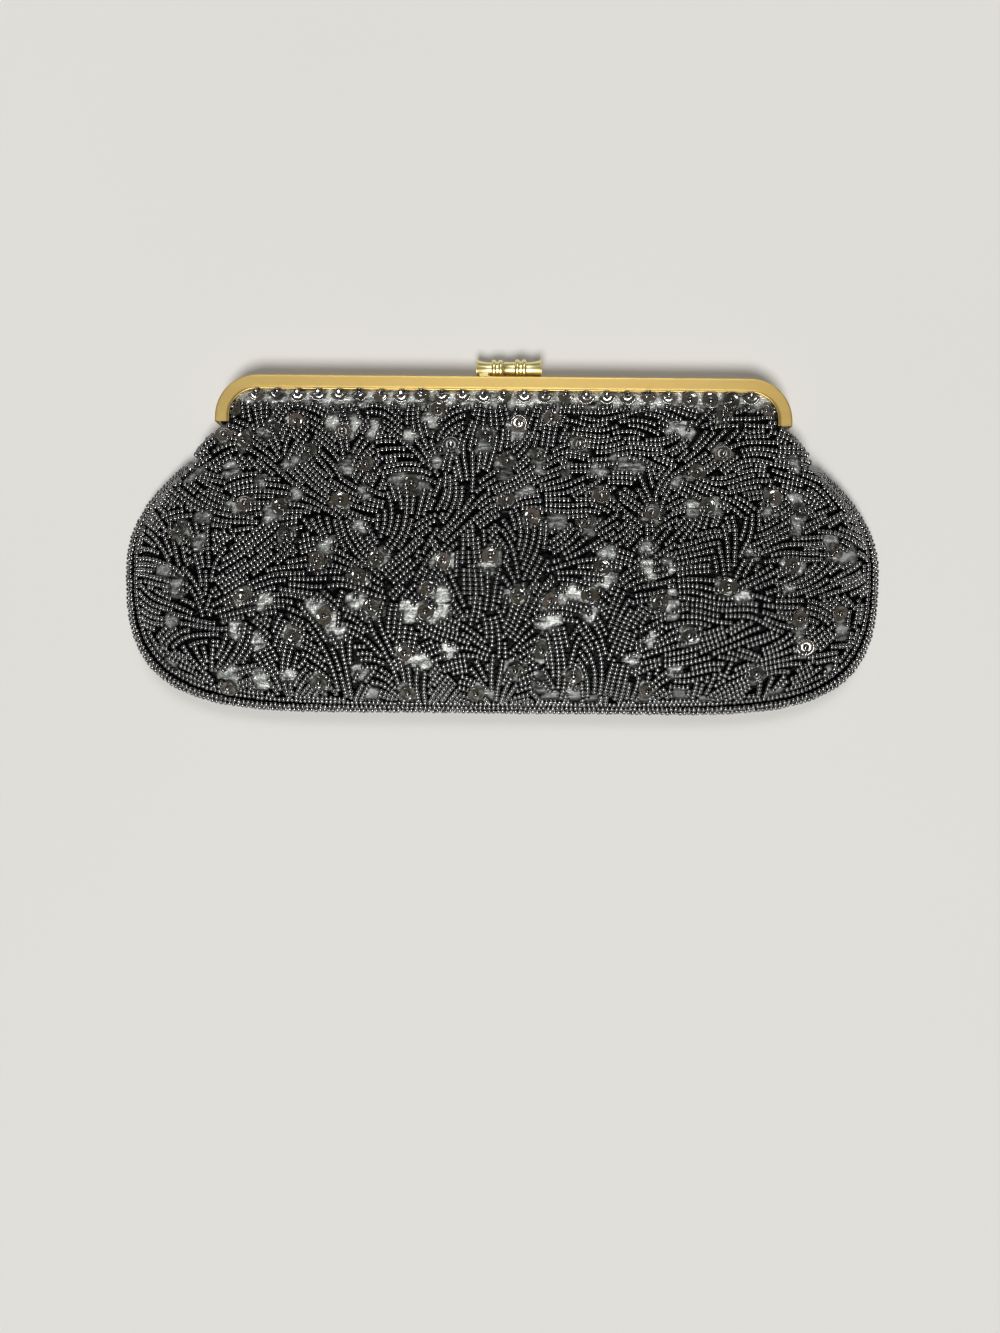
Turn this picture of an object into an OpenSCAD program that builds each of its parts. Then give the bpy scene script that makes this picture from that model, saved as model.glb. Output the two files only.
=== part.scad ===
// Kiss lock frame purse: a beaded evening clutch lying on its back.
// X runs across the bag, Y from the bottom edge to the clasp, Z up off the table.

/* [Bag] */
// Width of the bag at its widest, over the edge beads
bag_width = 226; // [180:0.5:280]
// Length from the bottom edge to the top of the frame
bag_length = 100.4; // [80:0.2:125]
// How far the belly stands above the seam between front and back
belly_rise = 16.8; // [12:0.2:22]
// Width added on each side between the frame and the hinges
shoulder = 10; // [3:0.5:13]
// Thickness of the row of beads along the seam
trim_diameter = 2; // [1:0.1:3]

/* [Fabric] */
// Depth of the beadwork
bead_depth = 2; // [1.4:0.1:3]
// Thickness of the satin that the beads are sewn to
satin_thickness = 0.4; // [0.3:0.05:0.6]
// Thickness of the stiffening cloth between satin and lining
padding_thickness = 1.2; // [0.8:0.1:1.6]
// Thickness of the lining
lining_thickness = 0.4; // [0.3:0.05:0.6]

/* [Frame] */
// Width of the frame over its sides
frame_width = 171; // [140:0.5:210]
// Outer radius of the frame's corners
corner_radius = 12.5; // [9:0.5:18]
// Height of the flat band on the frame's face
band_height = 4.3; // [3:0.1:6]
// Thickness of the brass sheet
sheet = 0.6; // [0.5:0.02:0.8]
// Width of the raised lip at the band's inner edge
lip_width = 0.45; // [0.3:0.05:0.8]
// How far the lip stands proud of the band
lip_proud = 0.2; // [0.1:0.05:0.3]
// Diameter of the cord that wedges the cloth in the frame
cord_diameter = 1.1; // [0.8:0.1:1.4]

/* [Hinge] */
// Distance from the top of the frame down to the hinge pins
hinge_drop = 26; // [22:0.5:32]
// Radius of a hinge pin
pin_radius = 0.8; // [0.6:0.02:1]
// Running clearance around the pin in the front frame's eye
pin_clearance = 0.03; // [0.02:0.01:0.08]
// Radius of the eye at the end of an arm
eye_radius = 1.6; // [1.4:0.05:1.6]
// Thickness of an arm
arm_thickness = 1; // [0.8:0.1:1.2]

/* [Clasp] */
// Largest radius of a knob, at its flared end
knob_radius = 3; // [2.4:0.1:4]
// Radius of a knob at its barrel and neck
barrel_radius = 2.1; // [1.6:0.1:2.3]
// Length of the plain barrel on the right knob
barrel_length = 3.5; // [2:0.1:5]
// Where the two knobs meet, measured from the middle of the frame
meeting_x = -0.3; // [-3:0.1:3]
// Gap between the tips of the two knobs
tip_gap = 0.2; // [0.15:0.05:0.4]
// How far each knob leans past the middle toward the other frame
knob_lean = 0.3; // [0:0.1:0.5]
// Width of the post that holds a knob
post_width = 2.6; // [2:0.1:3]

/* [Sequins] */
// Diameter of a sequin
sequin_diameter = 5; // [4:0.5:6]
// Spacing of the sequins along the frame
sequin_pitch = 6; // [5.4:0.1:8]

/* [Hidden] */
$fn = 64;
half_gap = 0.1;
layer_gap = 0.05;
slit_gap = 0.3;
cloth_gap = 0.3;
fit_gap = 0.05;

// Layers, as depths below the outer surface of the beads
cloth_stack = satin_thickness + padding_thickness + lining_thickness;
total_depth = bead_depth + cloth_stack;
bead_layer = [0, bead_depth - layer_gap];
satin_layer = [bead_depth, bead_depth + satin_thickness - layer_gap];
padding_top = bead_depth + satin_thickness;
padding_layer = [padding_top, padding_top + padding_thickness - layer_gap];
lining_layer = [padding_top + padding_thickness, total_depth];

// Heights above the seam plane, which is halfway through the closed frame
cord_level = half_gap + sheet + fit_gap + cord_diameter / 2;
cloth_face = half_gap + sheet + cord_diameter + 2 * fit_gap;
frame_face = cloth_face + cloth_stack + 0.2 + sheet;
lip_rise = cloth_face + total_depth;
seam_height = lip_rise;

// Distances from the bottom edge of the bag
belly_t = 0.44 * bag_length;
hinge_t = bag_length - hinge_drop;
fold_reach = 7;
fold_low = hinge_t - fold_reach;
fold_high = hinge_t + fold_reach;
corner_t = bag_length - corner_radius;
channel_t = corner_t - 1.5;
back_curve = 14;
shoulder_curve = 1.2;
overall = bag_length + knob_radius * 2 + 0.2;

frame_half = frame_width / 2;
wide_half = bag_width / 2;
bottom_half = 0.53 * wide_half;
trim_room = trim_diameter + 3 * fit_gap;
bead_inset = band_height + 0.1;
cloth_inset = sheet + cloth_gap;

// Hinge positions across the bag, for the right side: the arms stay inside the lining
head_radius = pin_radius + 0.6;
head_thickness = 0.5;
lining_half = half_width(hinge_t, total_depth, cloth_inset);
arm_out = min(frame_half - band_height - 3.1, lining_half - head_thickness - fit_gap - cloth_gap);
arm_mid = arm_out - arm_thickness;
arm_in = arm_mid - 0.1 - arm_thickness;
arm_depth = 1.4;

// Knob measures along its axis
ring_width = 1.3;
groove_width = 0.7;
neck_width = 1;
flare_width = 3.6;
ring_radius = knob_radius - 0.1;
groove_radius = barrel_radius + 0.3;
short_knob = 2 * ring_width + groove_width + neck_width + flare_width;
knob_t = bag_length + knob_radius + 0.2;
post_thickness = 0.8;
post_level = half_gap + sheet + 0.1;
left_post_x = meeting_x - tip_gap / 2 - short_knob + 1 + post_width / 2;
right_post_x = meeting_x + tip_gap / 2 + barrel_length + short_knob - 1 - post_width / 2;

columns = [0.2, 0.4, 0.57, 0.72, 0.83, 0.9, 0.95, 0.97, 0.988, 1];
last = len(columns) - 1;
across = concat([for (i = [0 : last]) -columns[last - i]], [0], columns);
low_rows = [for (u = [0, 0.018, 0.05, 0.1, 0.18, 0.311, 0.49, 0.73, 1]) u * belly_t];
fold_rows = [fold_low, hinge_t - 3, hinge_t, hinge_t + 3.5, fold_high];
body_rows = concat(low_rows, [(belly_t + fold_low) / 2, fold_low]);
function arc_rows(inset) = [
    for (a = [15 : 15 : 90]) corner_t + (corner_radius - inset) * sin(a)
];
bead_flap_rows = concat(
    [fold_high, channel_t - 1.9, channel_t - 1.25, channel_t - 1, corner_t],
    arc_rows(bead_inset)
);
cloth_flap_rows = concat(
    [fold_high, channel_t - 1.9, channel_t - 1, channel_t + 0.2, corner_t],
    arc_rows(cloth_inset)
);
inner_fold = [hinge_t - 3, hinge_t, hinge_t + 3.5];
bead_back_rows = concat(body_rows, inner_fold, bead_flap_rows);
cloth_back_rows = concat(body_rows, inner_fold, cloth_flap_rows);

// Where the loose sequins sit: distance from the middle, then from the bottom edge,
// on a bag of this width that starts to fold at this distance
spot_width = 226;
spot_fold = 67.4;
sequin_spots = [
    [-81, 8], [-53.5, 10], [-27.5, 6.5], [-7.5, 6.5], [11, 10.5], [42.5, 8], [-28, 19],
    [4, 14], [11.5, 20], [21, 12.5], [74.5, 13.5], [-60.5, 24], [54, 25], [89, 22],
    [-75.5, 35.5], [-51, 30], [-37.5, 32.5], [-22, 31.5], [4.5, 36], [13.5, 35],
    [45.5, 34.5], [86.5, 30.5], [99, 32.5], [-41, 42], [-21, 38.5], [25, 36.5], [65, 40],
    [-53, 46.5], [-36, 47], [-17, 46.5], [-3.5, 48], [28.5, 45], [84, 46.5], [97.5, 51],
    [-94.5, 55], [-62.5, 54], [8.5, 59.5], [24.5, 57.5], [-75, 63], [-64.5, 62], [-47, 64],
    [1, 64.5], [28.5, 66], [43, 61], [59, 63.5], [78.5, 66], [86, 62.5]
];

function smooth(u) = u <= 0 ? 0 : u >= 1 ? 1 : u * u * (3 - 2 * u);
function rounded(u) = sqrt(max(0, 1 - u * u));

// Slope factor that turns a depth into a horizontal inset where the outline leans
function lower_side(t) = (t - belly_t) / (hinge_t - belly_t);
function upper_side(t) = max(0, channel_t + 1 - t) / (channel_t + 1 - hinge_t);
function side_slope(t) = t <= hinge_t
    ? 2 * lower_side(t) * (wide_half - frame_half - shoulder) / (hinge_t - belly_t)
    : shoulder_curve * pow(upper_side(t), shoulder_curve - 1) * shoulder / (channel_t + 1 - hinge_t);
function lean(t) = t <= belly_t ? 1 : sqrt(1 + pow(side_slope(t), 2));

// Half width of the bag's outline, over the edge beads
function outline_low(t) = t <= 0
    ? bottom_half
    : wide_half * pow(1 - pow(1 - t / belly_t, 3), 1 / 6.3);
function outline(t) = t <= belly_t
    ? outline_low(t)
    : t <= hinge_t
        ? wide_half - (wide_half - frame_half - shoulder) * pow(lower_side(t), 2)
        : frame_half + shoulder * pow(upper_side(t), shoulder_curve);
function in_frame(t, inset) = t > channel_t - (inset > band_height ? 1.05 : 0.15);
function arch_half(t, inset) = t <= corner_t
    ? frame_half - inset
    : frame_half - corner_radius
        + sqrt(max(0, pow(corner_radius - inset, 2) - pow(t - corner_t, 2)));

// Room left for the seam beads, which stop at the hinge
function edge_room(t) = trim_room * (1 - smooth((t - hinge_t) / 3));
function half_width(t, d, inset) = in_frame(t, inset)
    ? arch_half(t, inset)
    : t <= belly_t
        ? outline(t) * (1 - (trim_room + d) / wide_half)
        : outline(t) - (edge_room(t) + d) * lean(t);
function row_t(t, d) = t < belly_t ? trim_room + d + t * (1 - (trim_room + d) / belly_t) : t;

// Height of the front and of the back, before and after the side profile
function low_rise(t) = pow(max(0, 1 - pow(1 - t / belly_t, 2.4)), 0.55);
function high_rise(t) = lip_rise
    + (belly_rise - lip_rise) * smooth(pow(max(0, channel_t - t) / (channel_t - belly_t), 0.8));
function front_height(t, d) = t <= belly_t
    ? (belly_rise - d) * low_rise(t)
    : high_rise(t) - d;
function back_height(t, d) = (lip_rise - d) * (t < back_curve ? rounded(1 - t / back_curve) : 1);
function edge_height(t, d, inset) = in_frame(t, inset)
    ? lip_rise - d
    : slit_gap / 2 * smooth((t - hinge_t + 3) / 3);
function box_profile(s) = rounded(max(0, abs(s) - 0.95) / 0.05);
function belly_profile(s) = pow(max(0, 1 - pow(abs(s), 2.6)), 0.55);
function boxy(t) = smooth((t - belly_t) / (channel_t - belly_t));
function front_profile(t, s) = boxy(t) * box_profile(s) + (1 - boxy(t)) * belly_profile(s);
function front_z(t, s, d, inset) = let (edge = edge_height(t, d, inset))
    edge + (front_height(t, d) - edge) * front_profile(t, s);
function back_z(t, s, d, inset) = let (edge = edge_height(t, d, inset))
    edge + (back_height(t, d) - edge) * box_profile(s);

function skin(rows, d, inset, front) = [
    for (t = rows) for (s = across)
        [
            s * half_width(t, d, inset), row_t(t, d),
            front ? front_z(t, s, d, inset) : back_z(t, s, d, inset)
        ]
];
function quad(a, b, c, d) = [[a, b, c], [a, c, d]];
function shell_faces(n, m) = [
    let (k = n * m)
    each concat(
        [for (i = [0 : n - 2]) for (j = [0 : m - 2])
            each quad(i * m + j, i * m + m + j, i * m + m + j + 1, i * m + j + 1)],
        [for (i = [0 : n - 2]) for (j = [0 : m - 2])
            each quad(k + i * m + j, k + i * m + j + 1, k + i * m + m + j + 1, k + i * m + m + j)],
        [for (j = [0 : m - 2]) each quad(j, j + 1, k + j + 1, k + j)],
        [for (j = [k - m : k - 2]) each quad(j + 1, j, k + j, k + j + 1)],
        [for (i = [0 : n - 2]) each quad(i * m + m, i * m, k + i * m, k + i * m + m)],
        [for (i = [1 : n - 1]) each quad(i * m - 1, i * m + m - 1, k + i * m + m - 1, k + i * m - 1)]
    )
];

// One cloth layer between two depths, in front of the seam plane
module layer(rows, depths, inset, front = true) {
    polyhedron(
        points = concat(
            skin(rows, depths[0], inset, front),
            skin(rows, depths[1], inset, front)
        ),
        faces = shell_faces(len(rows), len(across))
    );
}

module place() {
    translate([0, -overall / 2, seam_height])
        children();
}

module both_sides() {
    children();
    mirror([1, 0, 0])
        children();
}

module in_back() {
    mirror([0, 0, 1])
        children();
}

// The frame's outline: straight sides, two round corners and a straight top
module arch_plate(inset, low) {
    half = frame_half - inset;
    radius = corner_radius - inset;
    translate([-half, low])
        square([2 * half, corner_t - low]);
    translate([radius - half, low])
        square([2 * (half - radius), bag_length - inset - low]);
    for (side = [-1, 1])
        translate([side * (half - radius), corner_t])
            circle(r = radius);
}

module arch_band(outer, inner) {
    intersection() {
        difference() {
            arch_plate(outer, channel_t);
            arch_plate(inner, channel_t - 1);
        }
        translate([-frame_half, channel_t])
            square([frame_width, bag_length - channel_t]);
    }
}

module band_slab(from, to, outer, inner) {
    translate([0, 0, from])
        linear_extrude(height = to - from)
            arch_band(outer, inner);
}

module x_rod(from, to, radius) {
    translate([from, hinge_t, 0])
        rotate([0, 90, 0])
            cylinder(h = to - from, r = radius);
}

// Arm inside the mouth, from the frame's inner leg down to the hinge eye
module arm(from) {
    tab_width = frame_half - band_height + 0.3 - from;
    translate([from, channel_t, half_gap])
        cube([tab_width, 6, sheet]);
    translate([from, hinge_t, half_gap])
        cube([arm_thickness, channel_t + 6 - hinge_t, arm_depth]);
    x_rod(from, from + arm_thickness, eye_radius);
}

// One half of the frame: a channel that grips the cloth, with two arms
module frame_channel(arm_from, bore, post_x) {
    difference() {
        union() {
            band_slab(half_gap, frame_face, 0, sheet);
            band_slab(half_gap, half_gap + sheet, 0, band_height);
            band_slab(frame_face - sheet, frame_face, 0, band_height);
            band_slab(frame_face - sheet, frame_face + lip_proud, band_height - lip_width, band_height);
            both_sides()
                arm(arm_from);
        }
        both_sides()
            x_rod(arm_from - 1, arm_from + arm_thickness + 1, bore);
        translate([post_x - post_width / 2, bag_length - sheet - 1, post_level])
            cube([post_width, sheet + 2, post_thickness]);
    }
}

module front_frame() {
    color("#c9a24a")
        place()
            frame_channel(arm_mid, pin_radius + pin_clearance, left_post_x);
}

module back_frame() {
    color("#b8923e")
        place()
            in_back()
                frame_channel(arm_in, pin_radius, right_post_x);
}

module hinge_pin() {
    x_rod(arm_in - head_thickness, arm_out + fit_gap + head_thickness, pin_radius);
    x_rod(arm_in - head_thickness, arm_in, head_radius);
    x_rod(arm_out + fit_gap, arm_out + fit_gap + head_thickness, head_radius);
}

module right_hinge_pin() {
    color("#8c6f33")
        place()
            hinge_pin();
}

module left_hinge_pin() {
    color("#8c6f33")
        place()
            mirror([1, 0, 0])
                hinge_pin();
}

// A knob stands on its tip: barrel, two rings with a groove between, neck and flare
module knob_profile(barrel) {
    first = barrel + ring_width;
    second = first + groove_width;
    third = second + ring_width;
    flare = third + neck_width;
    end = flare + flare_width;
    tip = barrel > 0 ? barrel_radius : ring_radius;
    polygon([
        [0, 0], [tip - 0.2, 0], [tip, 0.2],
        [tip, barrel], [ring_radius, barrel + 0.2], [ring_radius, first - 0.2],
        [groove_radius, first], [groove_radius, second],
        [ring_radius, second + 0.2], [ring_radius, third - 0.2],
        [barrel_radius, third], [barrel_radius, flare],
        [knob_radius - 0.2, end - 0.5], [knob_radius, end - 0.4],
        [knob_radius, end - 0.1], [knob_radius - 0.1, end], [0, end]
    ]);
}

module short_profile() {
    second = ring_width + groove_width;
    third = second + ring_width;
    flare = third + neck_width;
    end = flare + flare_width;
    polygon([
        [0, 0], [ring_radius - 0.2, 0], [ring_radius, 0.2], [ring_radius, ring_width - 0.2],
        [groove_radius, ring_width], [groove_radius, second],
        [ring_radius, second + 0.2], [ring_radius, third - 0.2],
        [barrel_radius, third], [barrel_radius, flare],
        [knob_radius - 0.2, end - 0.5], [knob_radius, end - 0.4],
        [knob_radius, end - 0.1], [knob_radius - 0.1, end], [0, end]
    ]);
}

module post(post_x, top) {
    translate([post_x - post_width / 2, bag_length - sheet, post_level])
        cube([post_width, top - bag_length + sheet, post_thickness]);
    translate([post_x - post_width / 2 - 0.5, bag_length - sheet - 0.3, post_level])
        cube([post_width + 1, 0.3, post_thickness]);
}

module knob(post_x) {
    difference() {
        translate([meeting_x, knob_t, -knob_lean])
            children();
        translate([post_x - post_width / 2, bag_length - 1, post_level])
            cube([post_width, knob_t - bag_length + 1, post_thickness]);
    }
}

module left_knob() {
    color("#f4e3a0")
        place()
            knob(left_post_x)
                translate([-tip_gap / 2, 0, 0])
                    rotate([0, -90, 0])
                        rotate_extrude()
                            short_profile();
}

module right_knob() {
    color("#eccb5a")
        place()
            in_back()
                knob(right_post_x)
                    translate([tip_gap / 2, 0, 0])
                        rotate([0, 90, 0])
                            rotate_extrude()
                                knob_profile(barrel_length);
}

module left_knob_post() {
    color("#caa64e")
        place()
            post(left_post_x, knob_t);
}

module right_knob_post() {
    color("#caa64e")
        place()
            in_back()
                post(right_post_x, knob_t);
}

// Cord that wedges the cloth in the channel
module crimp_cord() {
    inset = cloth_inset + 0.15 + cord_diameter / 2;
    radius = corner_radius - inset;
    straight = frame_half - corner_radius;
    translate([-straight, bag_length - inset, cord_level])
        rotate([0, 90, 0])
            cylinder(h = 2 * straight, d = cord_diameter);
    both_sides()
        translate([straight, corner_t, cord_level]) {
            rotate_extrude(angle = 90)
                translate([radius, 0])
                    circle(d = cord_diameter);
            translate([radius, 0, 0])
                rotate([90, 0, 0])
                    cylinder(h = 1, d = cord_diameter);
        }
}

module front_crimp_cord() {
    color("#d8cdb0")
        place()
            crimp_cord();
}

module back_crimp_cord() {
    color("#d8cdb0")
        place()
            in_back()
                crimp_cord();
}

module front_piece(rows, depths, inset) {
    place()
        layer(rows, depths, inset);
}

module back_piece(rows, depths, inset) {
    place()
        in_back()
            layer(rows, depths, inset, false);
}

module back_beadwork() {
    color("#2b2b2e")
        back_piece(bead_back_rows, bead_layer, bead_inset);
}

module back_satin() {
    color("#5a5a60")
        back_piece(cloth_back_rows, satin_layer, cloth_inset);
}

module back_interlining() {
    color("#cfcabd")
        back_piece(cloth_back_rows, padding_layer, cloth_inset);
}

module back_lining() {
    color("#3c3c44")
        back_piece(cloth_back_rows, lining_layer, cloth_inset);
}

module front_beadwork_body() {
    color("#34343a")
        front_piece(body_rows, bead_layer, bead_inset);
}

module front_beadwork_fold() {
    color("#44444c")
        front_piece(fold_rows, bead_layer, bead_inset);
}

module front_beadwork_flap() {
    color("#3a3a42")
        front_piece(bead_flap_rows, bead_layer, bead_inset);
}

module front_satin_body() {
    color("#66666e")
        front_piece(body_rows, satin_layer, cloth_inset);
}

module front_satin_fold() {
    color("#76767e")
        front_piece(fold_rows, satin_layer, cloth_inset);
}

module front_satin_flap() {
    color("#6c6c74")
        front_piece(cloth_flap_rows, satin_layer, cloth_inset);
}

module front_interlining_body() {
    color("#d6d0c2")
        front_piece(body_rows, padding_layer, cloth_inset);
}

module front_interlining_fold() {
    color("#c6c0b2")
        front_piece(fold_rows, padding_layer, cloth_inset);
}

module front_interlining_flap() {
    color("#ccc6b8")
        front_piece(cloth_flap_rows, padding_layer, cloth_inset);
}

module front_lining_body() {
    color("#42424c")
        front_piece(body_rows, lining_layer, cloth_inset);
}

module front_lining_fold() {
    color("#4c4c58")
        front_piece(fold_rows, lining_layer, cloth_inset);
}

module front_lining_flap() {
    color("#464652")
        front_piece(cloth_flap_rows, lining_layer, cloth_inset);
}

// Beads along the seam, drawn as one soft cord that follows the outline
trim_radius = trim_diameter / 2;
trim_low = [for (t = low_rows) if (t > 0) t];
trim_side = concat(trim_low, [(belly_t + fold_low) / 2, fold_low, hinge_t - 3, hinge_t]);
function trim_x(t) = t <= belly_t
    ? outline(t) * (1 - trim_radius / wide_half)
    : outline(t) - trim_radius * lean(t);
function trim_t(t) = t < belly_t ? trim_radius + t * (1 - trim_radius / belly_t) : t;
function side_path(side) = [for (t = trim_side) [side * trim_x(t), trim_t(t)]];
function flipped(list) = [for (i = [len(list) - 1 : -1 : 0]) list[i]];
trim_path = concat(
    flipped(side_path(-1)),
    [[-bottom_half, trim_radius], [0, trim_radius], [bottom_half, trim_radius]],
    side_path(1)
);
function along(i) = let (
    a = trim_path[max(0, i - 1)],
    b = trim_path[min(len(trim_path) - 1, i + 1)]
) (b - a) / norm(b - a);
function trim_ring(i) = [
    for (a = [0 : 45 : 315])
        let (p = trim_path[i], v = along(i), c = trim_radius * cos(a))
            [p[0] + v[1] * c, p[1] - v[0] * c, trim_radius * sin(a)]
];
trim_count = len(trim_path);
trim_faces = concat(
    [for (i = [0 : trim_count - 2]) for (j = [0 : 7])
        each quad(
            i * 8 + j, i * 8 + 8 + j,
            i * 8 + 8 + (j + 1) % 8, i * 8 + (j + 1) % 8
        )],
    [for (j = [1 : 6]) [0, j, j + 1]],
    [for (j = [1 : 6]) [trim_count * 8 - 8, trim_count * 8 - 7 + j, trim_count * 8 - 8 + j]]
);

module seam_beads() {
    color("#1f1f22")
        place()
            polyhedron(
                points = [for (i = [0 : trim_count - 1]) each trim_ring(i)],
                faces = trim_faces
            );
}

// A sequin with the bead that holds it, lying on the front at a distance across and up
function front_at(x, t) = front_z(t, x / half_width(t, 0, bead_inset), 0, bead_inset);
module sequin(x, t) {
    step = 1.5;
    side = half_width(t, 0, bead_inset) - abs(x) > 4 ? 1 : 0;
    rise_x = side * (front_at(x + step, t) - front_at(x - step, t)) / (2 * step);
    rise_t = (front_at(x, t) - front_at(x, t - step)) / step;
    translate([x, row_t(t, 0), front_at(x, t) + 0.12])
        rotate([atan(rise_t), -atan(rise_x), 0]) {
            cylinder(h = 0.3, d = sequin_diameter);
            translate([0, 0, 0.85])
                sphere(d = 1.6);
        }
}

module front_sequins() {
    color("#4a453c")
        place()
            for (spot = sequin_spots)
                sequin(spot[0] * bag_width / spot_width, spot[1] * fold_low / spot_fold - trim_room);
}

// Sequins in a row under the frame's lip, across the top and round both corners
edge_inset = band_height + 2;
edge_radius = corner_radius - edge_inset;
edge_straight = frame_half - corner_radius;
edge_count = floor(2 * edge_straight / sequin_pitch);
edge_step = 2 * edge_straight / edge_count;
module frame_edge_sequins() {
    color("#57524a")
        place() {
            for (i = [0 : edge_count])
                sequin(i * edge_step - edge_straight, bag_length - edge_inset);
            for (side = [-1, 1])
                sequin(
                    side * (edge_straight + edge_radius * sin(68)),
                    corner_t + edge_radius * cos(68)
                );
        }
}

front_frame();
back_frame();
left_hinge_pin();
right_hinge_pin();
left_knob();
right_knob();
left_knob_post();
right_knob_post();
front_crimp_cord();
back_crimp_cord();
back_beadwork();
back_satin();
back_interlining();
back_lining();
front_beadwork_body();
front_beadwork_fold();
front_beadwork_flap();
front_satin_body();
front_satin_fold();
front_satin_flap();
front_interlining_body();
front_interlining_fold();
front_interlining_flap();
front_lining_body();
front_lining_fold();
front_lining_flap();
seam_beads();
frame_edge_sequins();
front_sequins();
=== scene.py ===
import math
import random
from collections import deque

import bmesh
import bpy
import numpy as np
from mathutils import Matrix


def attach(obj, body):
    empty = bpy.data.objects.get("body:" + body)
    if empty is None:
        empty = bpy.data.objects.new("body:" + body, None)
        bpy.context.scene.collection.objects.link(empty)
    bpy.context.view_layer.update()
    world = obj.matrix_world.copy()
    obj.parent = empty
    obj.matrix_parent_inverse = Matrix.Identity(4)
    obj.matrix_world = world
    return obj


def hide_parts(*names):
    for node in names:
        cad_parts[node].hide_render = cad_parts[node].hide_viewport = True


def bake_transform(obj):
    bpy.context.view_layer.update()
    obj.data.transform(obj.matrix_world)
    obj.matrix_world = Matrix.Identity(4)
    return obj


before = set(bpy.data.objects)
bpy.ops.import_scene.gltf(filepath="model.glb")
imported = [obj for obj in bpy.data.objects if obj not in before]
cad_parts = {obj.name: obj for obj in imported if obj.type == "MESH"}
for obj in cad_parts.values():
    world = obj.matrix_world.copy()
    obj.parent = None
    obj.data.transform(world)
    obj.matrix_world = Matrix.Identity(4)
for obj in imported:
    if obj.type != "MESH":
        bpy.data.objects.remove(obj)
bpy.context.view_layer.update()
print("frame loaded")

mm = 0.001

# Sizes of the purse in millimetres, as built; t runs from the bottom edge to the frame's top
purse = {
    "width": 226.0,
    "length": 100.4,
    "bellyRise": 16.8,
    "shoulder": 10.0,
    "shoulderCurve": 1.2,
    "trim": 2.15,
    "frameWidth": 171.0,
    "cornerRadius": 12.5,
    "band": 4.3,
    "hingeDrop": 26.0,
    "lipRise": 5.9,
    "backCurve": 14.0,
    "overall": 106.6,
    "seamRise": 0.15,
    "sag": 0.45,
    "sagSize": 34.0,
}
wideHalf = purse["width"] / 2
frameHalf = purse["frameWidth"] / 2
bellyT = 0.44 * purse["length"]
hingeT = purse["length"] - purse["hingeDrop"]
cornerT = purse["length"] - purse["cornerRadius"]
channelT = cornerT - 1.5
lipRise = purse["lipRise"]


# Outline and height of the bag, as in the CAD: s runs from -1 to 1 across, d is the depth under the skin
def smooth(u):
    u = np.clip(u, 0, 1)
    return u * u * (3 - 2 * u)


def rounded(u):
    return np.sqrt(np.maximum(0, 1 - u * u))


def upperSide(t):
    return np.maximum(0, channelT + 1 - t) / (channelT + 1 - hingeT)


def outline(t):
    t = np.asarray(t, float)
    low = wideHalf * np.power(np.maximum(1e-9, 1 - np.power(np.clip(1 - t / bellyT, 0, 1), 3)), 1 / 6.3)
    low = np.where(t <= 0.2, 0.53 * wideHalf, low)
    side = (t - bellyT) / (hingeT - bellyT)
    middle = wideHalf - (wideHalf - frameHalf - purse["shoulder"]) * side ** 2
    upper = frameHalf + purse["shoulder"] * upperSide(t) ** purse["shoulderCurve"]
    return np.where(t <= bellyT, low, np.where(t <= hingeT, middle, upper))


def sideLean(t):
    below = 2 * (t - bellyT) * (wideHalf - frameHalf - purse["shoulder"]) / (hingeT - bellyT) ** 2
    curve = purse["shoulderCurve"]
    above = curve * (upperSide(t) + 1e-9) ** (curve - 1) * purse["shoulder"] / (channelT + 1 - hingeT)
    slope = np.where(t <= hingeT, below, above)
    return np.where(t <= bellyT, 1.0, np.sqrt(1 + slope ** 2))


def archHalf(t, inset):
    curve = np.sqrt(np.maximum(0, (purse["cornerRadius"] - inset) ** 2 - (t - cornerT) ** 2))
    return np.where(t <= cornerT, frameHalf - inset, frameHalf - purse["cornerRadius"] + curve)


def inFrame(t):
    return smooth((t - channelT + 1) / 1.2)


def halfWidth(t, d, inset=0.9):
    room = purse["trim"] * (1 - smooth((t - hingeT) / 3))
    body = np.where(
        t <= bellyT,
        outline(t) * (1 - (purse["trim"] + d) / wideHalf),
        outline(t) - (room + d) * sideLean(t),
    )
    k = inFrame(t)
    return body * (1 - k) + archHalf(t, inset) * k


def rowPlace(t, d):
    return np.where(t < bellyT, purse["trim"] + d + t * (1 - (purse["trim"] + d) / bellyT), t)


def rowOf(place, d):
    return np.where(place < bellyT, (place - purse["trim"] - d) / (1 - (purse["trim"] + d) / bellyT), place)


def boxProfile(s):
    return rounded(np.maximum(0, np.abs(s) - 0.95) / 0.05)


def bellyProfile(s):
    return np.power(np.maximum(0, 1 - np.power(np.abs(s), 2.6)), 0.55)


def softNoise(x, y, seed, size):
    rnd = random.Random(seed)
    total = np.zeros_like(x + y)
    for _ in range(9):
        angle, phase = rnd.uniform(0, math.tau), rnd.uniform(0, math.tau)
        step = size * rnd.uniform(0.6, 1.8)
        total += np.sin((x * math.cos(angle) + y * math.sin(angle)) * math.tau / step + phase)
    return total / 4


# The front hangs a little slack between the middle and its edges
def sagAt(t, s):
    calm = smooth((hingeT - 4 - t) / 16) * smooth((1 - np.abs(s)) / 0.25) * smooth(t / 12)
    return purse["sag"] * calm * np.clip(0.5 + 0.5 * softNoise(s * 100, t, 5, purse["sagSize"]), 0, 1)


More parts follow.
